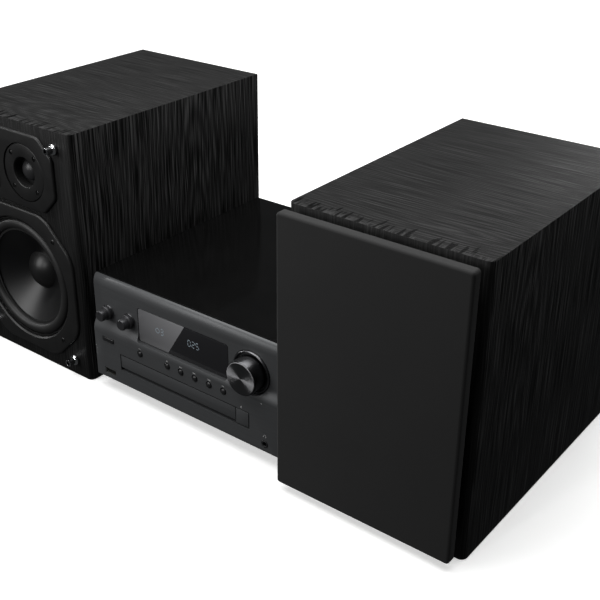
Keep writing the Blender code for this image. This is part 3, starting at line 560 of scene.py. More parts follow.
# Mica-filled polypropylene: a soft sheen, with flecks of 1 mm and slow clouds of 30 mm.
cone_sheet, tree = new_material("mica_polypropylene_cone")
place = add(tree, "TexCoord", {}, "Object")
fleck = add(tree, "TexNoise", {"Vector": place, "Scale": 900.0, "Detail": 3.0})
cloud = add(tree, "TexNoise", {"Vector": place, "Scale": 35.0, "Detail": 2.0})
shade = add(tree, "Mix", {0: cloud, 6: linear("#070708"), 7: linear("#0d0d0e")},
            output=2, data_type="RGBA")
rough = add(tree, "MapRange", {0: fleck, 3: 0.30, 4: 0.40})
bump = add(tree, "Bump", {"Height": fleck, "Strength": 0.3, "Distance": 0.00002})
show(tree, add(tree, "BsdfPrincipled", {
    "Base Color": shade, "Roughness": rough, "Normal": bump, "IOR": 1.49}))
# Butyl rubber: a dull bloom over a fine skin.
butyl = grained("butyl_rubber_surround", "#191919", 0.46, 0.5, 0.00002)
# The cap is vacuum-formed and smoother than the cone.
cap_sheet = grained("vacuum_formed_cap", "#131313", 0.38, 0.9, 0.00001, 0.03)

for prefix, side in SIDES:
    x = middle_of(prefix)
    seat = (x, baffle_y, WOOFER_HEIGHT)
    roll_r = (SURROUND_INNER + SURROUND_OUTER) / 2
    roll_w = (SURROUND_OUTER - SURROUND_INNER) / 2
    roll = arc((roll_r, -SEAT_DEPTH), roll_w, ROLL_HEIGHT, 180, 0, 14)
    under = arc((roll_r, -SEAT_DEPTH - 0.0007), roll_w - 0.0006, ROLL_HEIGHT - 0.0004, 0, 180, 14)
    surround = turned(prefix + "_woofer_surround", seat,
                      [(SURROUND_INNER - 0.0022, -SEAT_DEPTH)] + roll +
                      [(0.0583, -SEAT_DEPTH), (0.0583, -SEAT_DEPTH - 0.0007)] + under +
                      [(SURROUND_INNER - 0.0022, -SEAT_DEPTH - 0.0007)], 96, closed=True)
    fit(surround, prefix + "_cone", "driver_cone", butyl)
    flare = []
    for step in range(13):
        t = step / 12
        radius = CONE_OUTER - t * (CONE_OUTER - CONE_NECK)
        flare.append((radius, -SEAT_DEPTH - 0.0009 - CONE_DEPTH * (t + 0.10 * t * (1 - t))))
    skin = [(radius, height - 0.0008) for radius, height in reversed(flare)]
    neck = [(0.0150, flare[-1][1] - 0.0004)]
    cone = turned(prefix + "_woofer_diaphragm", seat, flare + neck + skin, 96, closed=True)
    fit(cone, prefix + "_cone", "driver_cone", cone_sheet)
    coil = turned(prefix + "_voice_coil", seat, [
        (0.0149, flare[-1][1] - 0.0010), (0.0149, -0.0455), (0.0142, -0.0455),
        (0.0142, flare[-1][1] - 0.0010)], 48, closed=True)
    fit(coil, prefix + "_cone", "driver_cone", cap_sheet)
    sphere = (CAP_RADIUS ** 2 + CAP_HEIGHT ** 2) / (2 * CAP_HEIGHT)
    edge_angle = math.degrees(math.acos(CAP_RADIUS / sphere))
    dome = arc((0.0, CAP_SEAT + CAP_HEIGHT - sphere), sphere, sphere, 90, edge_angle, 14)
    rim = [(CAP_RADIUS + 0.0012, CAP_SEAT - 0.0002), (CAP_RADIUS + 0.0012, CAP_SEAT - 0.0010)]
    inner = [(radius * 0.96, height - 0.0008) for radius, height in reversed(dome)]
    cap = turned(prefix + "_dust_cap", seat, dome + rim + inner, 96)
    fit(cap, prefix + "_cone", "driver_cone", cap_sheet, prefix + "_woofer_cone")


# ---- Tweeters ----
# One ABS plate carries the dome tweeter and, further out, the super tweeter. Each has a turned
# faceplate with a short horn round a coated silk dome.
TWEETER_HALF = 0.058
TWEETER_LOW = 0.1585
TWEETER_HIGH = 0.2290
TWEETER_CUT = 0.017
TWEETER_CORNER = 0.0037
FACE_RAISE = 0.0030
FACE_SCREW = 0.0018

# Coated silk: a soft weave of 0.5 mm under a tacky dope, so the highlight is broad.
silk = grained("doped_silk_dome", "#29292a", 0.34, 0.5, 0.00002, 0.02)
# A near-black lining in the throat round the dome: painted shade for the deep well.
throat_painted_shade = grained("black_throat_painted_shade", "#030303", 0.9, 0.4, 0.00010, 0.02)

for prefix, side in SIDES:
    x = middle_of(prefix)
    front = baffle_y - PLATE_RAISE
    plate = add_box(prefix + "_tweeter_trim", (x - TWEETER_HALF, front, TWEETER_LOW),
                    (x + TWEETER_HALF, baffle_y - GLUE_GAP, TWEETER_HIGH))
    bevel_edges(plate, TWEETER_CUT, 1, runs_along(1))
    bevel_edges(plate, TWEETER_CORNER, 5, runs_along(1))
    bevel_edges(plate, PLATE_EDGE, 4, lies_at(1, front))
    units = (("tweeter", x - side * TWEETER_INWARD, TWEETER_HEIGHT, 0.0265, 0.0095),
             ("super_tweeter", x + side * SUPER_TWEETER_OUTWARD, SUPER_TWEETER_HEIGHT,
              0.0200, 0.0062))
    for name, unit_x, height, flange, dome_radius in units:
        carve(plate, add_rod("face_hole", (unit_x, baffle_y, height), flange + 0.0007, 0.03, 96))
    fit(plate, prefix + "_speaker", "driver_trim", trim_abs, prefix + "_tweeter_plate")
    for name, unit_x, height, flange, dome_radius in units:
        seat = (unit_x, baffle_y, height)
        mouth = dome_radius + 0.0052
        face = turned(prefix + "_" + name + "_face", seat, [
            (dome_radius + 0.0013, -0.0072), (mouth - 0.0008, -0.0072)] +
            arc((mouth, FACE_RAISE - 0.0017), 0.0008, 0.0008, 180, 90, 5) + [
            (flange - 0.0012, FACE_RAISE - 0.0007), (flange - 0.0004, FACE_RAISE - 0.0010),
            (flange, FACE_RAISE - 0.0018), (flange, 0.0003), (dome_radius + 0.0040, 0.0003),
            (dome_radius + 0.0040, -0.018), (dome_radius + 0.0013, -0.018)], 96, closed=True)
        spread = (flange - 0.0045) * math.cos(math.radians(45))
        corners = [(unit_x + across * spread, baffle_y - FACE_RAISE + 0.0012, height + up * spread)
                   for across, up in CORNERS]
        carve(face, *[add_rod("screw_seat", corner, 0.0023, 0.0024, 24) for corner in corners])
        fit(face, prefix + "_speaker", "driver_trim", trim_abs, prefix + "_" + name)
        # A near-black ring laid in the well round the dome: painted shade.
        shade_lining = turned(prefix + "_" + name + "_throat", seat, [
            (mouth - 0.0012, FACE_RAISE - 0.0024), (mouth - 0.0009, FACE_RAISE - 0.0024),
            (mouth - 0.0009, -0.0071), (dome_radius + 0.0014, -0.0071),
            (dome_radius + 0.0014, -0.0068), (mouth - 0.0012, -0.0068)], 64, closed=True)
        fit(shade_lining, prefix + "_speaker", "driver_trim", throat_painted_shade)
        dome = arc((0.0, -0.0062), dome_radius, dome_radius * 0.66, 90, 0, 12)
        cap = turned(prefix + "_" + name + "_dome", seat, dome + [
            (dome_radius + 0.0012, -0.0064), (dome_radius + 0.0012, -0.0070), (0.0, -0.0070)], 64)
        fit(cap, prefix + "_speaker", "driver_trim", silk)
        spots = [(across, depth + 0.0002, up) for across, depth, up in corners]
        for head in screws(prefix + "_" + name + "_screw_", spots, FACE_SCREW):
            fit(head, prefix + "_speaker", "driver_trim", screw_steel)


# ---- Grille studs ----
# Hollow brass studs, turned and chromed, pressed into the baffle near its four corners. They take
# the pins of the grille, so the right speaker's show only when its grille is off.
# Bright nickel and chrome: a clean mirror with the faintest polishing haze.
chrome_plate, tree = new_material("bright_chrome_plate")
place = add(tree, "TexCoord", {}, "Object")
haze = add(tree, "TexNoise", {"Vector": place, "Scale": 700.0, "Detail": 2.0})
rough = add(tree, "MapRange", {0: haze, 3: 0.05, 4: 0.12})
tint = add(tree, "Mix", {0: haze, 6: linear("#d2d4d6"), 7: linear("#e2e3e4")},
           output=2, data_type="RGBA")
show(tree, add(tree, "BsdfPrincipled", {"Base Color": tint, "Roughness": rough, "Metallic": 1.0}))

STUD_PROFILE = [(0.0, 0.0020), (0.0021, 0.0020), (0.0021, 0.0094), (0.0024, 0.0097),
                (0.0030, 0.0097), (0.0033, 0.0094), (0.0033, 0.0034), (0.0038, 0.0029),
                (0.0047, 0.0026), (0.0050, 0.0021), (0.0050, 0.0003), (0.0, 0.0003)]
STUD_OFFSET = 0.060
STUD_EDGE = 0.016
cabinet_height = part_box("left_cabinet")[1].z
for prefix, side in SIDES:
    x = middle_of(prefix)
    for place_name, across in (("inner", -side), ("outer", side)):
        for level, height in (("low", STUD_EDGE), ("high", cabinet_height - STUD_EDGE)):
            name = prefix + "_grille_stud_" + place_name + "_" + level
            stud = turned(name + "_turned", (x + across * STUD_OFFSET, baffle_y, height),
                          STUD_PROFILE, 40)
            nodes = [name] if side < 0 else []
            fit(stud, prefix + "_speaker", "stud_chrome", chrome_plate, *nodes)


# ---- Grille ----
# Fine black knitted polyester, stretched over a moulded ABS frame and glued round its back edge.
# The frame's pins push into the studs, so the whole grille pulls straight off.
GRILLE_CORNER = 0.0026
GRILLE_EDGE = 0.0022
CLOTH = 0.0005

# A 0.9 mm warp knit, about three times as coarse as the real one: two crossed ribs of yarn.
knit, tree = new_material("black_warp_knit_polyester")
place = add(tree, "TexCoord", {}, "Object")
lines = []
for axis in (0, 2):
    along = add(tree, "SeparateXYZ", {0: place}, axis)
    turns = add(tree, "Math", {0: along, 1: 2 * math.pi / 0.0009}, operation="MULTIPLY")
    lines.append(add(tree, "Math", {0: turns}, operation="SINE"))
knots = add(tree, "Math", {0: lines[0], 1: lines[1]}, operation="MULTIPLY")
knots = add(tree, "MapRange", {0: knots, 1: -1.0, 2: 1.0})
fuzz = add(tree, "TexNoise", {"Vector": place, "Scale": 22.0, "Detail": 4.0})
mixed = add(tree, "Mix", {0: 0.35, 2: fuzz, 3: knots}, data_type="FLOAT")
shade = add(tree, "Mix", {0: mixed, 6: linear("#101010"), 7: linear("#1a1a1a")},
            output=2, data_type="RGBA")
bump = add(tree, "Bump", {"Height": knots, "Strength": 0.25, "Distance": 0.0001})
show(tree, add(tree, "BsdfPrincipled", {
    "Base Color": shade, "Roughness": 0.72, "Normal": bump, "Sheen Weight": 0.12,
    "Sheen Roughness": 0.5, "Specular IOR Level": 0.35}))



def open_up(piece, test):
    """Deletes, in edit mode, the faces whose normal passes the test."""
    pick(piece)
    bpy.ops.object.mode_set(mode="EDIT")
    bpy.ops.mesh.select_mode(type="FACE")
    bpy.ops.mesh.select_all(action="DESELECT")
    shape = bmesh.from_edit_mesh(piece.data)
    for face in shape.faces:
        face.select_set(test(face.normal))
    bmesh.update_edit_mesh(piece.data)
    bpy.ops.mesh.delete(type="FACE")
    bpy.ops.object.mode_set(mode="OBJECT")


low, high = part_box("right_grille_cloth")
cloth = add_box("right_grille_knit", low, high)
bevel_edges(cloth, GRILLE_CORNER, 8, runs_along(1))
bevel_edges(cloth, GRILLE_EDGE, 6, lies_at(1, low.y))
open_up(cloth, lambda normal: normal.y > 0.9)
shape_by(cloth, "SOLIDIFY", thickness=CLOTH, offset=-1.0)
fit(cloth, "right_grille", "grille_cloth", knit, "right_grille_cloth")


# ---- Main unit: top cover ----
# One steel sheet, folded down at both sides into a bridge over the chassis and sprayed with black
# gloss lacquer. It mirrors the speakers and the softboxes.
COVER_SHEET = 0.0012
COVER_BEND = 0.0016

# Sprayed lacquer, clear-coated: a deep mirror with a slow orange peel some 6 mm across.
lacquer, tree = new_material("black_gloss_lacquer")
place = add(tree, "TexCoord", {}, "Object")
peel = add(tree, "TexNoise", {"Vector": place, "Scale": 160.0, "Detail": 1.0})
film_and_painted_reflection = add(tree, "TexNoise", {"Vector": place, "Scale": 30.0, "Detail": 3.0})
rough = add(tree, "MapRange", {0: film_and_painted_reflection, 3: 0.09, 4: 0.14})
shade = add(tree, "Mix", {0: film_and_painted_reflection, 6: linear("#060606"), 7: linear("#0b0b0b")},
            output=2, data_type="RGBA")
bump = add(tree, "Bump", {"Height": peel, "Strength": 0.05, "Distance": 0.0001})
show(tree, add(tree, "BsdfPrincipled", {
    "Base Color": shade, "Roughness": rough, "Normal": bump, "IOR": 1.5}))

low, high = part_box("top_cover")
cover = add_box("top_cover_pressing", low, high)
bevel_edges(cover, COVER_BEND, 6, lambda a, b: runs_along(1)(a, b) and a.z > high.z - 0.001)
open_up(cover, lambda normal: abs(normal.y) > 0.9 or normal.z < -0.9)
shape_by(cover, "SOLIDIFY", thickness=COVER_SHEET, offset=-1.0)
fit(cover, "main_unit", "cover_lacquer", lacquer, "top_cover")


# ---- Main unit: front panel ----
# An aluminium extrusion, brushed along its length and anodised dark grey: a rounded lip, a flat
# face, a hollow ramp and a lower face, with openings milled for the controls.
LIP_DEPTH = 0.005
LIP_HEIGHT = 0.0095
UPPER_SET_BACK = 0.004
RAMP_TOP = 0.0735
RAMP_BOTTOM = 0.0605
DISPLAY_HALF = 0.0514
DISPLAY_LOW = 0.0645
DISPLAY_HIGH = 0.0968
VOLUME = Vector((0.0760, 0, 0.0813))
POCKET_RADIUS = 0.0192
TONE_X = (-0.0888, -0.0624)
TONE_Z = 0.0802
BUTTON_ROW_Z = 0.0541
BUTTONS = (("source_button", -0.0476), ("stop_button", -0.0148), ("play_button", 0.0009),
           ("skip_back_button", 0.0169), ("skip_forward_button", 0.0328),
           ("selector_button", 0.0486))
BUTTON_HOLE = 0.0034
TONE_HOLE = 0.0034
POWER_X = -0.0877
POWER_HOLE = (0.0074, 0.0516, 0.0562)
SOCKET_X = -0.0879
SOCKET_Z = 0.0210
USB_HALF_WIDTH = 0.0070
USB_HALF_HEIGHT = 0.0031
HEADPHONE_X = 0.0921
HEADPHONE_HOLE = 0.0036
DRAWER_LEFT = -0.0736
DRAWER_GAP = 0.0013
WINDOW_GAP = 0.0003
SHAFT_HOLE = 0.0042
POCKET_DEPTH = 0.0050
ARC_STEPS = 12
panel_low, panel_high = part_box("front_panel")
face_y = panel_low.y
upper_y = face_y + UPPER_SET_BACK

# Brushed and anodised aluminium under its dark dye, so less metallic than bare metal. Hair lines
# 0.4 mm apart and some 55 mm long, drawn several times as coarse as real ones, streak its sheen.
brushed, tree = new_material("brushed_anodised_aluminium")
place = add(tree, "TexCoord", {}, "Object")
hair_map = add(tree, "Mapping", {"Vector": place, "Scale": (18.0, 2600.0, 2600.0)})
hair = add(tree, "TexNoise", {"Vector": hair_map, "Scale": 1.0, "Detail": 3.0, "Roughness": 0.7})
shade = add(tree, "Mix", {0: hair, 6: linear("#424244"), 7: linear("#585a5b")},
            output=2, data_type="RGBA")
rough = add(tree, "MapRange", {0: hair, 3: 0.36, 4: 0.48})
bump = add(tree, "Bump", {"Height": hair, "Strength": 0.25, "Distance": 0.00003})
show(tree, add(tree, "BsdfPrincipled", {
    "Base Color": shade, "Roughness": rough, "Normal": bump, "Metallic": 0.3}))

lip_base = panel_high.z - LIP_HEIGHT
section = [(panel_high.y, panel_low.z), (panel_high.y, panel_high.z)]
section += [(upper_y + LIP_DEPTH * (1 - math.cos(a)), lip_base + LIP_HEIGHT * math.sin(a))
            for a in [math.radians(90 - 90 / ARC_STEPS * i) for i in range(1, ARC_STEPS + 1)]]
section += [(face_y + UPPER_SET_BACK * (0.5 + 0.5 * math.cos(math.pi * i / ARC_STEPS)),
             RAMP_TOP - (RAMP_TOP - RAMP_BOTTOM) * i / ARC_STEPS) for i in range(ARC_STEPS + 1)]
section += [(face_y, panel_low.z + 0.0008), (face_y + 0.0008, panel_low.z)]
mesh = bpy.data.meshes.new("front_extrusion")
mesh.from_pydata([(panel_low.x, y, z) for y, z in section], [], [list(range(len(section)))])
panel = bpy.data.objects.new("front_extrusion", mesh)
bpy.context.scene.collection.objects.link(panel)
pick(panel)
bpy.ops.object.mode_set(mode="EDIT")
bpy.ops.mesh.select_all(action="SELECT")
bpy.ops.mesh.extrude_region_move(
    TRANSFORM_OT_translate={"value": (panel_high.x - panel_low.x, 0, 0)})
bpy.ops.mesh.select_all(action="SELECT")
bpy.ops.mesh.normals_make_consistent(inside=False)
bpy.ops.object.mode_set(mode="OBJECT")
shape_by(panel, "BEVEL", width=0.0005, segments=2, limit_method="ANGLE",
         angle_limit=math.radians(60))


def slot_tool(name, x_low, x_high, z_low, z_high, radius):
    """A cutter with rounded corners that goes right through the front panel."""
    tool = add_box(name, (x_low, face_y - 0.02, z_low), (x_high, face_y + 0.03, z_high))
    if radius:
        bevel_edges(tool, radius, 5, runs_along(1))
    return tool


drawer_low, drawer_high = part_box("cd_tray")
eject_low, eject_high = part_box("eject_button")
power_half, power_low, power_high = POWER_HOLE
tools = [slot_tool("display_opening", -DISPLAY_HALF - WINDOW_GAP, DISPLAY_HALF + WINDOW_GAP,
                   DISPLAY_LOW - WINDOW_GAP, DISPLAY_HIGH + WINDOW_GAP, 0.0027),
         slot_tool("drawer_opening", DRAWER_LEFT, eject_high.x + DRAWER_GAP,
                   eject_low.z - DRAWER_GAP, eject_high.z + DRAWER_GAP, 0.0),
         slot_tool("power_opening", POWER_X - power_half, POWER_X + power_half, power_low,
                   power_high, 0.0006),
         slot_tool("usb_opening", SOCKET_X - USB_HALF_WIDTH, SOCKET_X + USB_HALF_WIDTH,
                   SOCKET_Z - USB_HALF_HEIGHT, SOCKET_Z + USB_HALF_HEIGHT, 0.0003),
         add_rod("headphone_opening", (HEADPHONE_X, face_y, SOCKET_Z), HEADPHONE_HOLE,
                 CUT_LENGTH, 48),
         turned("volume_pocket", (VOLUME.x, face_y, VOLUME.z), [
             (0.0, 0.03), (POCKET_RADIUS + 0.0002, 0.03), (POCKET_RADIUS, -POCKET_DEPTH),
             (SHAFT_HOLE, -POCKET_DEPTH), (SHAFT_HOLE, -0.03), (0.0, -0.03)], 96)]
for x in TONE_X:
    tools.append(add_rod("tone_opening", (x, face_y, TONE_Z), TONE_HOLE, CUT_LENGTH, 40))
for name, x in BUTTONS:
    tools.append(add_rod("button_opening", (x, face_y, BUTTON_ROW_Z), BUTTON_HOLE, CUT_LENGTH,
                         40))
carve(panel, *tools)
fit(panel, "main_unit", "fascia", brushed, "front_panel")


# ---- Main unit: display ----
# A smoked acrylic window, with a lighter painted reflection towards its left end, over a
# seven-segment display with a small disc sign. The segments glow a pale blue-grey.
DIGIT_HEIGHT = 0.0056
DIGIT_WIDTH = 0.0030
STROKE = 0.0006
# Where the painted reflection's slanted edge meets the top and the bottom of the window.
PAINTED_REFLECTION_TOP_X = 0.0034
PAINTED_REFLECTION_LOW_X = -0.0170
SEGMENTS = {"0": "abcdef", "2": "abged", "3": "abgcd", "5": "afgcd"}
GLOW_HALF = 0.00008
NUMBER_X = (0.0072, 0.0118, 0.0164)
NUMBER_Z = 0.0803
TRACK_X = -0.0246
TRACK_Z = 0.0796
WINDOW_CORNER = 0.0022
WINDOW_EDGE = 0.0003

window_low, window_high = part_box("display_window")

# Cast acrylic, smoked: a dark body under a polished face. The lighter patch at its left, which
# ends on a slant and fades towards the middle, is a painted reflection.
smoked, tree = new_material("smoked_acrylic_window_painted_reflection")
place = add(tree, "TexCoord", {}, "Object")
rightwards = add(tree, "SeparateXYZ", {0: place}, 0)
upwards = add(tree, "SeparateXYZ", {0: place}, 2)
# The lighter patch left of this slanted edge, fading towards the middle, is a painted reflection.
slant = (PAINTED_REFLECTION_TOP_X - PAINTED_REFLECTION_LOW_X) / (DISPLAY_HIGH - DISPLAY_LOW)
lean = add(tree, "Math", {0: upwards, 1: slant}, operation="MULTIPLY")
edge = add(tree, "Math", {0: lean, 1: PAINTED_REFLECTION_LOW_X - slant * DISPLAY_LOW}, operation="ADD")
beyond = add(tree, "Math", {0: rightwards, 1: edge}, operation="SUBTRACT")
film_and_painted_reflection = add(tree, "MapRange", {0: beyond, 1: -0.0002, 2: 0.0002, 3: 1.0, 4: 0.0})
painted_reflection_fade = add(tree, "MapRange", {0: rightwards, 1: -DISPLAY_HALF, 2: 0.0, 3: 0.5, 4: 1.0})
film_and_painted_reflection = add(tree, "Math", {0: film_and_painted_reflection, 1: painted_reflection_fade}, operation="MULTIPLY")
dust = add(tree, "TexNoise", {"Vector": place, "Scale": 400.0, "Detail": 2.0})
shade = add(tree, "Mix", {0: film_and_painted_reflection, 6: linear("#272729"), 7: linear("#868688")},
            output=2, data_type="RGBA")
rough = add(tree, "MapRange", {0: dust, 3: 0.10, 4: 0.16})
show(tree, add(tree, "BsdfPrincipled", {"Base Color": shade, "Roughness": rough, "IOR": 1.49}))

window = add_box("display_lens", window_low, window_high)
bevel_edges(window, WINDOW_CORNER, 5, runs_along(1))
bevel_edges(window, WINDOW_EDGE, 2, lies_at(1, window_low.y))
fit(window, "main_unit", "display_window", smoked, "display_window")

# Vacuum-fluorescent phosphor seen through the smoked window: a dull even glow with fine mottle.
phosphor, tree = new_material("pale_phosphor_segment")
place = add(tree, "TexCoord", {}, "Object")
mottle = add(tree, "TexNoise", {"Vector": place, "Scale": 1500.0})
glow = add(tree, "Mix", {0: mottle, 6: linear("#828f98"), 7: linear("#98a4ac")},
           output=2, data_type="RGBA")
show(tree, add(tree, "BsdfPrincipled", {
    "Base Color": glow, "Emission Color": glow, "Emission Strength": 0.12, "Roughness": 0.5}))
ink_y = window_low.y


def join_pieces(name, pieces):
    """Joins several meshes into one piece, which keeps the first one's place."""
    bpy.ops.object.select_all(action="DESELECT")
    for piece in pieces:
        piece.select_set(True)
    bpy.context.view_layer.objects.active = pieces[0]
    bpy.ops.object.join()
    joined = bpy.context.object
    joined.name = joined.data.name = name
    return joined


def digit(figure, x, z):
    """The lit bars of one seven-segment figure, whose lower left corner is at x and z."""
    bars = []
    half_height = DIGIT_HEIGHT / 2
    across = {"a": DIGIT_HEIGHT, "g": half_height, "d": 0.0}
    upright = {"f": (0.0, half_height), "b": (DIGIT_WIDTH, half_height),
               "e": (0.0, 0.0), "c": (DIGIT_WIDTH, 0.0)}
    for bar in SEGMENTS[figure]:
        if bar in across:
            low = (x + STROKE * 0.7, z + across[bar] - STROKE / 2)
            high = (x + DIGIT_WIDTH - STROKE * 0.7, z + across[bar] + STROKE / 2)
        else:
            left, bottom = upright[bar]
            low = (x + left - STROKE / 2, z + bottom + STROKE * 0.7)
            high = (x + left + STROKE / 2, z + bottom + half_height - STROKE * 0.7)
        piece = add_box("bar", (low[0], ink_y - GLOW_HALF, low[1]),
                        (high[0], ink_y + GLOW_HALF, high[1]))
        bevel_edges(piece, STROKE * 0.42, 1, runs_along(1))
        bars.append(piece)
    return bars


bars = []
for figure, x in zip("025", NUMBER_X):
    bars += digit(figure, x - DIGIT_WIDTH * 0.1, NUMBER_Z)
bars += digit("3", TRACK_X, TRACK_Z)
readout = join_pieces("display_readout", bars)
fit(readout, "main_unit", "display_window", phosphor)
disc_sign = turned("display_disc_sign", (-0.0282, ink_y, 0.0824), [
    (0.0019, GLOW_HALF), (0.0024, GLOW_HALF), (0.0024, -GLOW_HALF), (0.0019, -GLOW_HALF)], 32,
    closed=True)
fit(disc_sign, "main_unit", "display_window", phosphor)


# ---- Main unit: volume knob and ring ----
# A large aluminium knob turned on a lathe, with a face cut in fine circles, a straight-polished
# side and a diamond-cut edge. It stands in a pocket with a bright ring round it.
KNOB_RADIUS = 0.0150
GROOVE_PITCH = 0.0005
TOOL_LINE_PITCH = 0.0004
knob_reach = upper_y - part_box("volume_knob")[0].y

# Lathe-turned face: grooves 0.5 mm apart, drawn five times as coarse as real ones. They spread
# the light across themselves, so it gathers into bright fans from the middle.
spun, tree = new_material("spun_aluminium_face")
place = add(tree, "TexCoord", {}, "Object")
from_axis = add(tree, "VectorMath", {0: place, 1: (VOLUME.x, 0, VOLUME.z)}, operation="SUBTRACT")
flat = add(tree, "VectorMath", {0: from_axis, 1: (1, 0, 1)}, operation="MULTIPLY")
radius = add(tree, "VectorMath", {0: flat}, output="Value", operation="LENGTH")
turns = add(tree, "Math", {0: radius, 1: 2 * math.pi / GROOVE_PITCH}, operation="MULTIPLY")
groove = add(tree, "Math", {0: turns}, operation="SINE")
rough = add(tree, "MapRange", {0: groove, 1: -1.0, 2: 1.0, 3: 0.38, 4: 0.46})
shade = add(tree, "Mix", {0: add(tree, "MapRange", {0: groove, 1: -1.0, 2: 1.0}),
                          6: linear("#7c7c7e"), 7: linear("#959597")},
            output=2, data_type="RGBA")
around = add(tree, "Tangent", {}, direction_type="RADIAL", axis="Y")
bump = add(tree, "Bump", {"Height": groove, "Strength": 0.2, "Distance": 0.00003})
show(tree, add(tree, "BsdfPrincipled", {
    "Base Color": shade, "Roughness": rough, "Metallic": 1.0, "Anisotropic": 0.97,
    "Tangent": around, "Normal": bump}))

# Turned side: polished round the knob, darker, with faint tool lines 0.4 mm apart.
turned_side, tree = new_material("polished_aluminium_side")
place = add(tree, "TexCoord", {}, "Object")
depth = add(tree, "SeparateXYZ", {0: place}, 1)
turns = add(tree, "Math", {0: depth, 1: 2 * math.pi / TOOL_LINE_PITCH}, operation="MULTIPLY")
tool_line = add(tree, "Math", {0: turns}, operation="SINE")
rough = add(tree, "MapRange", {0: tool_line, 1: -1.0, 2: 1.0, 3: 0.20, 4: 0.28})
shade = add(tree, "Mix", {0: rough, 6: linear("#505052"), 7: linear("#6a6a6c")},
            output=2, data_type="RGBA")
bump = add(tree, "Bump", {"Height": tool_line, "Strength": 0.15, "Distance": 0.00002})
show(tree, add(tree, "BsdfPrincipled", {
    "Base Color": shade, "Roughness": rough, "Metallic": 1.0, "Normal": bump}))

pivot = (VOLUME.x, upper_y, VOLUME.z)
knob_face = turned("volume_knob_face", pivot, [
    (0.0, knob_reach), (0.0138, knob_reach), (0.0143, knob_reach - 0.0003),
    (0.0143, knob_reach - 0.0008), (0.0, knob_reach - 0.0008)], 96)
fit(knob_face, "volume_knob", "knob_metal", spun)
knob_side = turned("volume_knob_body", pivot, [
    (0.0, knob_reach - 0.0009), (0.0144, knob_reach - 0.0009), (0.0146, knob_reach - 0.0004),
    (0.0149, knob_reach - 0.0009), (KNOB_RADIUS, knob_reach - 0.0018),
    (KNOB_RADIUS + 0.0003, 0.0012), (KNOB_RADIUS + 0.0004, 0.0004), (0.0100, 0.0004),
    (0.0100, -0.0004), (0.0036, -0.0004), (0.0036, -0.0076), (0.0, -0.0076)], 96)
fit(knob_side, "volume_knob", "knob_metal", turned_side, "volume_knob")

# Diamond-cut aluminium: a smooth hoop, brighter than the panel round it.
hoop_metal = grained("diamond_cut_hoop", "#626264", 0.28, 0.4, 0.00001, 0.04, 1.0)
ring = turned("volume_ring_hoop", pivot, [
    (0.0168, 0.0004)] + arc((0.0178, 0.0004), 0.0010, 0.0012, 180, 0, 8) + [
    (0.0189, -0.0002), (0.0189, -0.0007), (0.0168, -0.0007)], 96, closed=True)
fit(ring, "main_unit", "bright_trim", hoop_metal, "volume_ring")


# ---- Main unit: tone knobs ----
# Two small turned knobs for bass and treble, waisted above a flared skirt, each with a finely
# milled pointer line on its face.
TONE_REACH = 0.011
GROOVE_HALF = 0.00025

# Blasted, then anodised dark: an even grey metal with a soft highlight.
blasted = grained("blasted_dark_anodised_aluminium", "#3e3e40", 0.36, 0.4, 0.00002,
                  metallic=0.6)
for name, x in zip(("bass_knob", "treble_knob"), TONE_X):
    knob = turned(name + "_turned", (x, upper_y, TONE_Z), [
        (0.0, TONE_REACH), (0.0044, TONE_REACH), (0.0049, TONE_REACH - 0.0005),
        (0.0051, TONE_REACH - 0.0012), (0.0051, 0.0056), (0.0048, 0.0052), (0.0048, 0.0046),
        (0.0060, 0.0042), (0.0064, 0.0036), (0.0064, 0.0004), (0.0030, 0.0004),
        (0.0030, -0.0076), (0.0, -0.0076)], 64)
    carve(knob, add_box("pointer_groove",
                        (x - GROOVE_HALF, upper_y - TONE_REACH - 0.001, TONE_Z + 0.0014),
                        (x + GROOVE_HALF, upper_y - TONE_REACH + 0.0003, TONE_Z + 0.0060)))
    fit(knob, name, "knob_metal", blasted, name)
    collar = turned(name + "_collar", (x, upper_y, TONE_Z), [
        (0.0066, 0.0008), (0.0071, 0.0006), (0.0072, 0.0001), (0.0066, 0.0001)], 64, closed=True)
    fit(collar, "main_unit", "bright_trim", hoop_metal)


# ---- Main unit: buttons ----
# Six round buttons, a slim power bar and the eject key, moulded in black ABS with a satin skin.
# Small printed signs above them say what they do.
POWER_HALF = 0.0070
POWER_REACH = 0.0008

# Satin black ABS from a polished mould: smoother than the trim, so each button has a highlight.
button_abs = grained("satin_black_abs_button", "#1a1a1b", 0.30, 0.5, 0.00001)
for name, x in BUTTONS:
    cap = turned(name + "_cap", (x, face_y, BUTTON_ROW_Z),
                 arc((0.0, 0.0), 0.0026, 0.0012, 90, 0, 8) + [
                     (0.0026, -0.0093), (0.0040, -0.0093), (0.0040, -0.0103),
                     (0.0014, -0.0103), (0.0014, -0.0150), (0.0, -0.0150)], 40)
    fit(cap, name, "button_plastic", button_abs, name)
power = add_box("power_bar", (POWER_X - POWER_HALF, face_y - POWER_REACH, 0.0519),
                (POWER_X + POWER_HALF, face_y + 0.0100, 0.0559))
bevel_edges(power, 0.0016, 5, runs_along(1))
bevel_edges(power, 0.0005, 3, lies_at(1, face_y - POWER_REACH))
fit(power, "power_button", "button_plastic", button_abs)
flange = add_box("power_bar_flange", (POWER_X - 0.0082, face_y + 0.0094, 0.0524),
                 (POWER_X + 0.0082, face_y + 0.0108, 0.0570))
fit(flange, "power_button", "button_plastic", button_abs, "power_button")
eject = add_box("eject_key", eject_low, (eject_high.x, eject_low.y + 0.0026, eject_high.z))
bevel_edges(eject, 0.0003, 2, lies_at(1, eject_low.y))
fit(eject, "eject_button", "button_plastic", brushed)
stem = add_box("eject_key_stem", (0.0690, eject_low.y + 0.0024, 0.0340),
               (0.0730, eject_high.y, 0.0390))
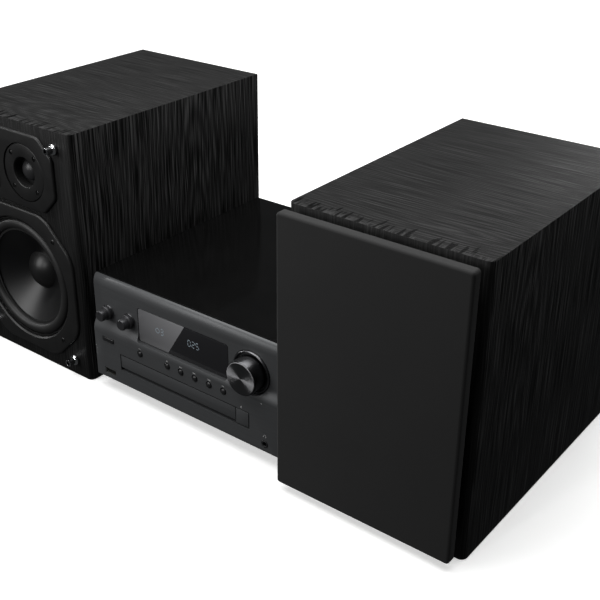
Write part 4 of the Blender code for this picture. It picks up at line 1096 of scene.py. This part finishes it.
fit(stem, "eject_button", "button_plastic", button_abs, "eject_button")

# Screen-printed ink: light grey, a hair thick, slightly uneven at its edge.
ink = grained("light_grey_print", "#9c9c9c", 0.6, 0.3, 0.00001)
INK = 0.00006
sign_y = face_y - INK / 2


def sign_triangle(x, z, size, turn):
    """A printed triangle that points right, turned in degrees."""
    bpy.ops.object.select_all(action="DESELECT")
    bpy.ops.mesh.primitive_cylinder_add(vertices=3, radius=size, depth=INK,
                                        location=(x, sign_y, z),
                                        rotation=(math.pi / 2, math.radians(turn), 0))
    bpy.ops.object.transform_apply(location=True, rotation=True, scale=True)
    return bpy.context.object


def sign_bar(x, z, width, height):
    """A printed upright bar or square."""
    return add_box("printed_bar", (x - width / 2, sign_y - INK / 2, z - height / 2),
                   (x + width / 2, sign_y + INK / 2, z + height / 2))


SIGN_Z = 0.0590
SIGN_HEIGHT = 0.0013
ARROW = 0.0009
# From the first line down: stop, play and pause, skip back, skip forward, source, selector,
# eject, and the dot beside the volume knob.
signs = [sign_bar(-0.0148, SIGN_Z, SIGN_HEIGHT, SIGN_HEIGHT),
         sign_triangle(0.0002, SIGN_Z, ARROW, 90),
         sign_bar(0.0016, SIGN_Z, 0.0004, SIGN_HEIGHT),
         sign_bar(0.0023, SIGN_Z, 0.0004, SIGN_HEIGHT),
         sign_triangle(0.0160, SIGN_Z, ARROW, -90),
         sign_triangle(0.0174, SIGN_Z, ARROW, -90),
         sign_bar(0.0150, SIGN_Z, 0.0003, SIGN_HEIGHT),
         sign_triangle(0.0322, SIGN_Z, ARROW, 90),
         sign_triangle(0.0336, SIGN_Z, ARROW, 90),
         sign_bar(0.0348, SIGN_Z, 0.0003, SIGN_HEIGHT),
         sign_bar(-0.0476, SIGN_Z, 0.0024, 0.0004),
         sign_bar(0.0486, SIGN_Z, 0.0024, 0.0004),
         sign_triangle(0.0677, 0.0472, 0.0010, 0),
         sign_bar(0.0677, 0.0461, 0.0016, 0.0003),
         sign_bar(0.0890, 0.0585, 0.0009, 0.0009)]
printed = join_pieces("printed_signs", signs)
fit(printed, "main_unit", "button_plastic", ink)


# ---- Main unit: disc drawer ----
# A moulded tray with a round recess for the disc and a slot for the spindle. Its door is a strip
# of the same brushed metal as the front panel.
DOOR_PROUD = 0.0003
DOOR_OVERLAP = 0.0002

# Fine-grained black ABS: an even, half-matt face.
tray_abs = grained("fine_black_abs_tray", "#161616", 0.42, 0.8, 0.00003)


def refined(node, name):
    """A merged copy of a frame node, with its flat faces made whole."""
    piece = frame["nodes"][node].copy()
    piece.data = piece.data.copy()
    piece.name = piece.data.name = name
    piece.parent = None
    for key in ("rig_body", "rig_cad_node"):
        del piece[key]
    bpy.context.scene.collection.objects.link(piece)
    pick(piece)
    bpy.ops.object.mode_set(mode="EDIT")
    bpy.ops.mesh.select_all(action="SELECT")
    bpy.ops.mesh.remove_doubles(threshold=MERGE)
    bpy.ops.mesh.dissolve_limited(angle_limit=math.radians(0.5))
    bpy.ops.object.mode_set(mode="OBJECT")
    return piece


fit(refined("cd_tray", "disc_tray"), "cd_tray", "tray_plastic", tray_abs, "cd_tray")
door = add_box("disc_tray_door",
               (drawer_low.x - DOOR_OVERLAP, drawer_low.y - DOOR_PROUD, 0.0313),
               (drawer_high.x + DOOR_OVERLAP, drawer_low.y + DOOR_OVERLAP, drawer_high.z))
bevel_edges(door, 0.0002, 2, lies_at(1, drawer_low.y - DOOR_PROUD))
fit(door, "cd_tray", "tray_plastic", brushed)


# ---- Main unit: front sockets ----
# A USB socket, folded from plated steel round a black tongue with four contacts, and a headphone
# jack with its ring nut, both soldered to the board behind and reached through the front panel.
# Thin gold over nickel, darkened to a dull yellow metal: painted shade for the inside of
# its socket.
gold = grained("gold_plated_contact_painted_shade", "#5c4c2c", 0.40, 0.3, 0.00001, 0.04, 1.0)
# Bright zinc on steel: a greyish metal with a fine crystalline bloom, 2 mm across.
zinc = grained("zinc_plated_steel", "#a9aaa6", 0.36, 2.0, 0.00001, 0.07, 1.0)

fit(refined("usb_socket", "usb_shell"), "main_unit", "chassis_steel", zinc, "usb_socket")
tongue = add_box("usb_tongue", (SOCKET_X - 0.0050, face_y + 0.0012, SOCKET_Z + 0.0002),
                 (SOCKET_X + 0.0050, face_y + 0.0138, SOCKET_Z + 0.0018))
bevel_edges(tongue, 0.0003, 2, lies_at(1, face_y + 0.0012))
fit(tongue, "main_unit", "chassis_steel", tray_abs)
contacts = [add_box("contact", (SOCKET_X + offset - 0.0005, face_y + 0.0018, SOCKET_Z + 0.0001),
                    (SOCKET_X + offset + 0.0005, face_y + 0.0100, SOCKET_Z + 0.0003))
            for offset in (-0.0035, -0.0012, 0.0012, 0.0035)]
fit(join_pieces("usb_contacts", contacts), "main_unit", "chassis_steel", gold)
jack = turned("headphone_nut", (HEADPHONE_X, face_y, SOCKET_Z), [
    (0.0018, -0.0146), (0.0018, 0.0001), (0.0021, 0.0004), (0.0030, 0.0004), (0.0033, 0.0001),
    (0.0033, -0.0094), (0.0052, -0.0094), (0.0052, -0.0180), (0.0, -0.0180), (0.0, -0.0150),
    (0.0018, -0.0150)], 48)
fit(jack, "main_unit", "black_plastic", button_abs, "headphone_jack")
arch = turned("headphone_sign", (HEADPHONE_X, sign_y, 0.0285), [
    (0.0011, INK / 2), (0.0014, INK / 2), (0.0014, -INK / 2), (0.0011, -INK / 2)], 32,
    closed=True)
carve(arch, add_box("arch_cut", (HEADPHONE_X - 0.01, sign_y - 0.01, 0.02),
                    (HEADPHONE_X + 0.01, sign_y + 0.01, 0.0284)))
ears = [sign_bar(HEADPHONE_X + side * 0.00120, 0.0281, 0.0006, 0.0012)
        for side in (-1, 1)]
fit(join_pieces("headphone_mark", [arch] + ears), "main_unit", "black_plastic", ink)


# ---- Main unit: chassis, rear and feet ----
# A zinc-plated steel pan carries everything. Behind it is a moulded panel with the speaker
# posts, audio sockets and mains inlet, and under it are four feet of moulded rubber.
POST_COLUMNS = (-0.0380, -0.0080)
POST_ROWS = (0.0345, 0.0500)
RIBS = 12

# Black ABS from a coarsely etched mould: matt, with 1 mm grain.
rear_abs = grained("grained_black_abs_rear", "#101010", 0.55, 1.0, 0.00006)
# Moulded rubber: dull, with next to no highlight.
foot_rubber = grained("black_rubber_foot", "#121212", 0.75, 0.8, 0.00004)
# The coloured parts are ABS too, from polished moulds, so they shine a little.
red_abs = grained("red_abs_cap", "#8e1712", 0.34, 0.6, 0.00002)
black_cap = grained("black_abs_cap", "#0d0d0d", 0.30, 0.6, 0.00002)
white_abs = grained("white_abs_insert", "#d8d8d2", 0.42, 0.6, 0.00002)

fit(refined("chassis_base", "chassis_pan"), "main_unit", "chassis_steel", zinc, "chassis_base")
for node, name in (("rear_panel", "rear_moulding"), ("speaker_terminals", "terminal_block"),
                   ("audio_jacks", "audio_socket_block"), ("ac_inlet", "mains_inlet_body")):
    fit(refined(node, name), "main_unit", "black_plastic", rear_abs, node)

cap_profile = [(0.0, 0.0006), (0.0048, 0.0006), (0.0058, -0.0002), (0.0060, -0.0012),
               (0.0060, -0.0080), (0.0056, -0.0086), (0.0, -0.0086)]


def binding_cap(name, x, y, z, body, material):
    """A ribbed screw cap on a binding post, facing the rear."""
    cap = turned(name, (x, y, z), cap_profile, 48, axis=(0, 1, 0))
    ribs = [add_box("rib_gap", (x - 0.0003, y - 0.0078, z + 0.0056),
                    (x + 0.0003, y - 0.0012, z + 0.0066))]
    for step in range(1, RIBS):
        rib = copy_to(ribs[0], "rib_gap", (0, 0, 0))
        rib.data.transform(Matrix.Translation(Vector((x, y, z))) @
                           Matrix.Rotation(math.radians(360 / RIBS * step), 4, "Y") @
                           Matrix.Translation(Vector((-x, -y, -z))))
        ribs.append(rib)
    carve(cap, *ribs)
    return fit(cap, body, "black_plastic", material)


terminal_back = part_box("speaker_terminals")[1].y
for column, x in enumerate(POST_COLUMNS):
    for row, z in enumerate(POST_ROWS):
        binding_cap("unit_post_cap_" + str(2 * column + row + 1), x, terminal_back, z,
                    "main_unit", red_abs if row else black_cap)
jack_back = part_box("audio_jacks")[1].y
for column, x in (("left", -0.0835), ("right", -0.0685)):
    for row, z, insert in (("low", 0.0375, red_abs), ("high", 0.0505, white_abs)):
        name = "audio_socket_" + column + "_" + row
        sleeve = turned(name + "_sleeve", (x, jack_back, z), [
            (0.0036, 0.0004), (0.0042, 0.0003), (0.0043, -0.0002), (0.0043, -0.0072),
            (0.0036, -0.0072)], 40, axis=(0, 1, 0), closed=True)
        fit(sleeve, "main_unit", "black_plastic", chrome_plate)
        ring = turned(name + "_insert", (x, jack_back, z), [
            (0.0016, 0.0002), (0.0035, 0.0002), (0.0035, -0.0030), (0.0016, -0.0030)], 40,
            axis=(0, 1, 0), closed=True)
        fit(ring, "main_unit", "black_plastic", insert)
inlet_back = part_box("ac_inlet")[1].y
for name, x in (("left", 0.0722), ("right", 0.0778)):
    pin = turned("mains_pin_" + name, (x, inlet_back - 0.0102, 0.0360), [
        (0.0, 0.0070), (0.0008, 0.0068), (0.0011, 0.0060), (0.0011, -0.0005), (0.0, -0.0005)],
        24, axis=(0, 1, 0))
    fit(pin, "main_unit", "chassis_steel", chrome_plate)
for name in ("foot_front_left", "foot_front_right", "foot_rear_left", "foot_rear_right"):
    low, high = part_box(name)
    foot = turned(name + "_moulded", ((low.x + high.x) / 2, (low.y + high.y) / 2, 0.0), [
        (0.0, high.z), (0.0098, high.z), (0.0100, high.z - 0.0004), (0.0100, 0.0024),
        (0.0094, 0.0008), (0.0084, 0.0), (0.0060, 0.0), (0.0052, 0.0008), (0.0, 0.0008)], 48,
        axis=(0, 0, 1))
    fit(foot, "main_unit", "foot_rubber", foot_rubber, name)


# ---- Speaker rears ----
# Set into each back board: a reflex port tube with a flared mouth, and a recessed terminal cup
# with two ribbed binding posts, black for minus and red for plus.
POST_HALF_SPACING = 0.0125

# Black ABS, moulded in one with its flare: a satin skin that catches the light at the mouth.
port_abs = grained("black_abs_port", "#0f0f0f", 0.40, 0.8, 0.00003)
for prefix, side in SIDES:
    x = middle_of(prefix)
    board_back = cabinet_back_y - BACK_INSET
    flare = arc((0.0225, -0.0050), 0.0050, 0.0072, 180, 90, 10)
    port = turned(prefix + "_port_flare", (x, board_back, PORT_HEIGHT), flare + [
        (0.0248, 0.0018), (0.0250, 0.0010), (0.0250, 0.0003), (0.0196, 0.0003),
        (0.0196, -0.085), (0.0175, -0.085)], 96, axis=(0, 1, 0), closed=True)
    fit(port, prefix + "_speaker", "black_plastic", port_abs, prefix + "_port_tube")
    fit(refined(prefix + "_terminal_cup", prefix + "_terminal_dish"), prefix + "_speaker",
        "black_plastic", rear_abs, prefix + "_terminal_cup")
    for sign, offset, material in (("minus", -POST_HALF_SPACING, black_cap),
                                   ("plus", POST_HALF_SPACING, red_abs)):
        binding_cap(prefix + "_post_cap_" + sign, x + offset, board_back - 0.0018,
                    TERMINAL_HEIGHT, prefix + "_speaker", material)


# ---- Inside the main unit ----
# Boards, heat sink, disc mechanism and gear, which show a little when the drawer is out or the
# grille is off. Their frame shapes are right as they are and only take their materials here.
# Solder resist over copper: a glossy green with the tracks' faint relief, 1.5 mm apart.
board_resist, tree = new_material("green_solder_resist")
place = add(tree, "TexCoord", {}, "Object")
tracks = add(tree, "TexVoronoi", {"Vector": place, "Scale": 650.0}, distance="MANHATTAN",
             feature="F1")
shade = add(tree, "Mix", {0: tracks, 6: linear("#0f3d22"), 7: linear("#1c6b3a")},
            output=2, data_type="RGBA")
bump = add(tree, "Bump", {"Height": tracks, "Strength": 0.3, "Distance": 0.0001})
show(tree, add(tree, "BsdfPrincipled", {"Base Color": shade, "Roughness": 0.3, "Normal": bump}))
# Extruded aluminium left plain: a light satin metal.
extruded = grained("extruded_aluminium_sink", "#a2a3a5", 0.38, 0.8, 0.00002, metallic=1.0)
# Moulded acetal: waxy and off-white.
acetal = grained("white_acetal_gear", "#d9d8d0", 0.38, 0.8, 0.00001)
# Pressed steel, dip-painted black over its magnet: half matt, with 1.2 mm orange peel.
basket_paint = grained("painted_basket_steel", "#141414", 0.50, 1.2, 0.00004)
INSIDE = (("control_board", board_resist), ("main_board", board_resist),
          ("power_supply", board_resist), ("heat_sink", extruded), ("cd_mechanism", rear_abs),
          ("disc_turntable", tray_abs), ("laser_sled", zinc), ("tray_drive_gear", acetal),
          ("display_module", rear_abs), ("left_woofer_basket", basket_paint),
          ("right_woofer_basket", basket_paint), ("right_grille_frame", trim_abs))
for name, material in INSIDE:
    node = frame["nodes"][name]
    node.data.materials.clear()
    node.data.materials.append(material)
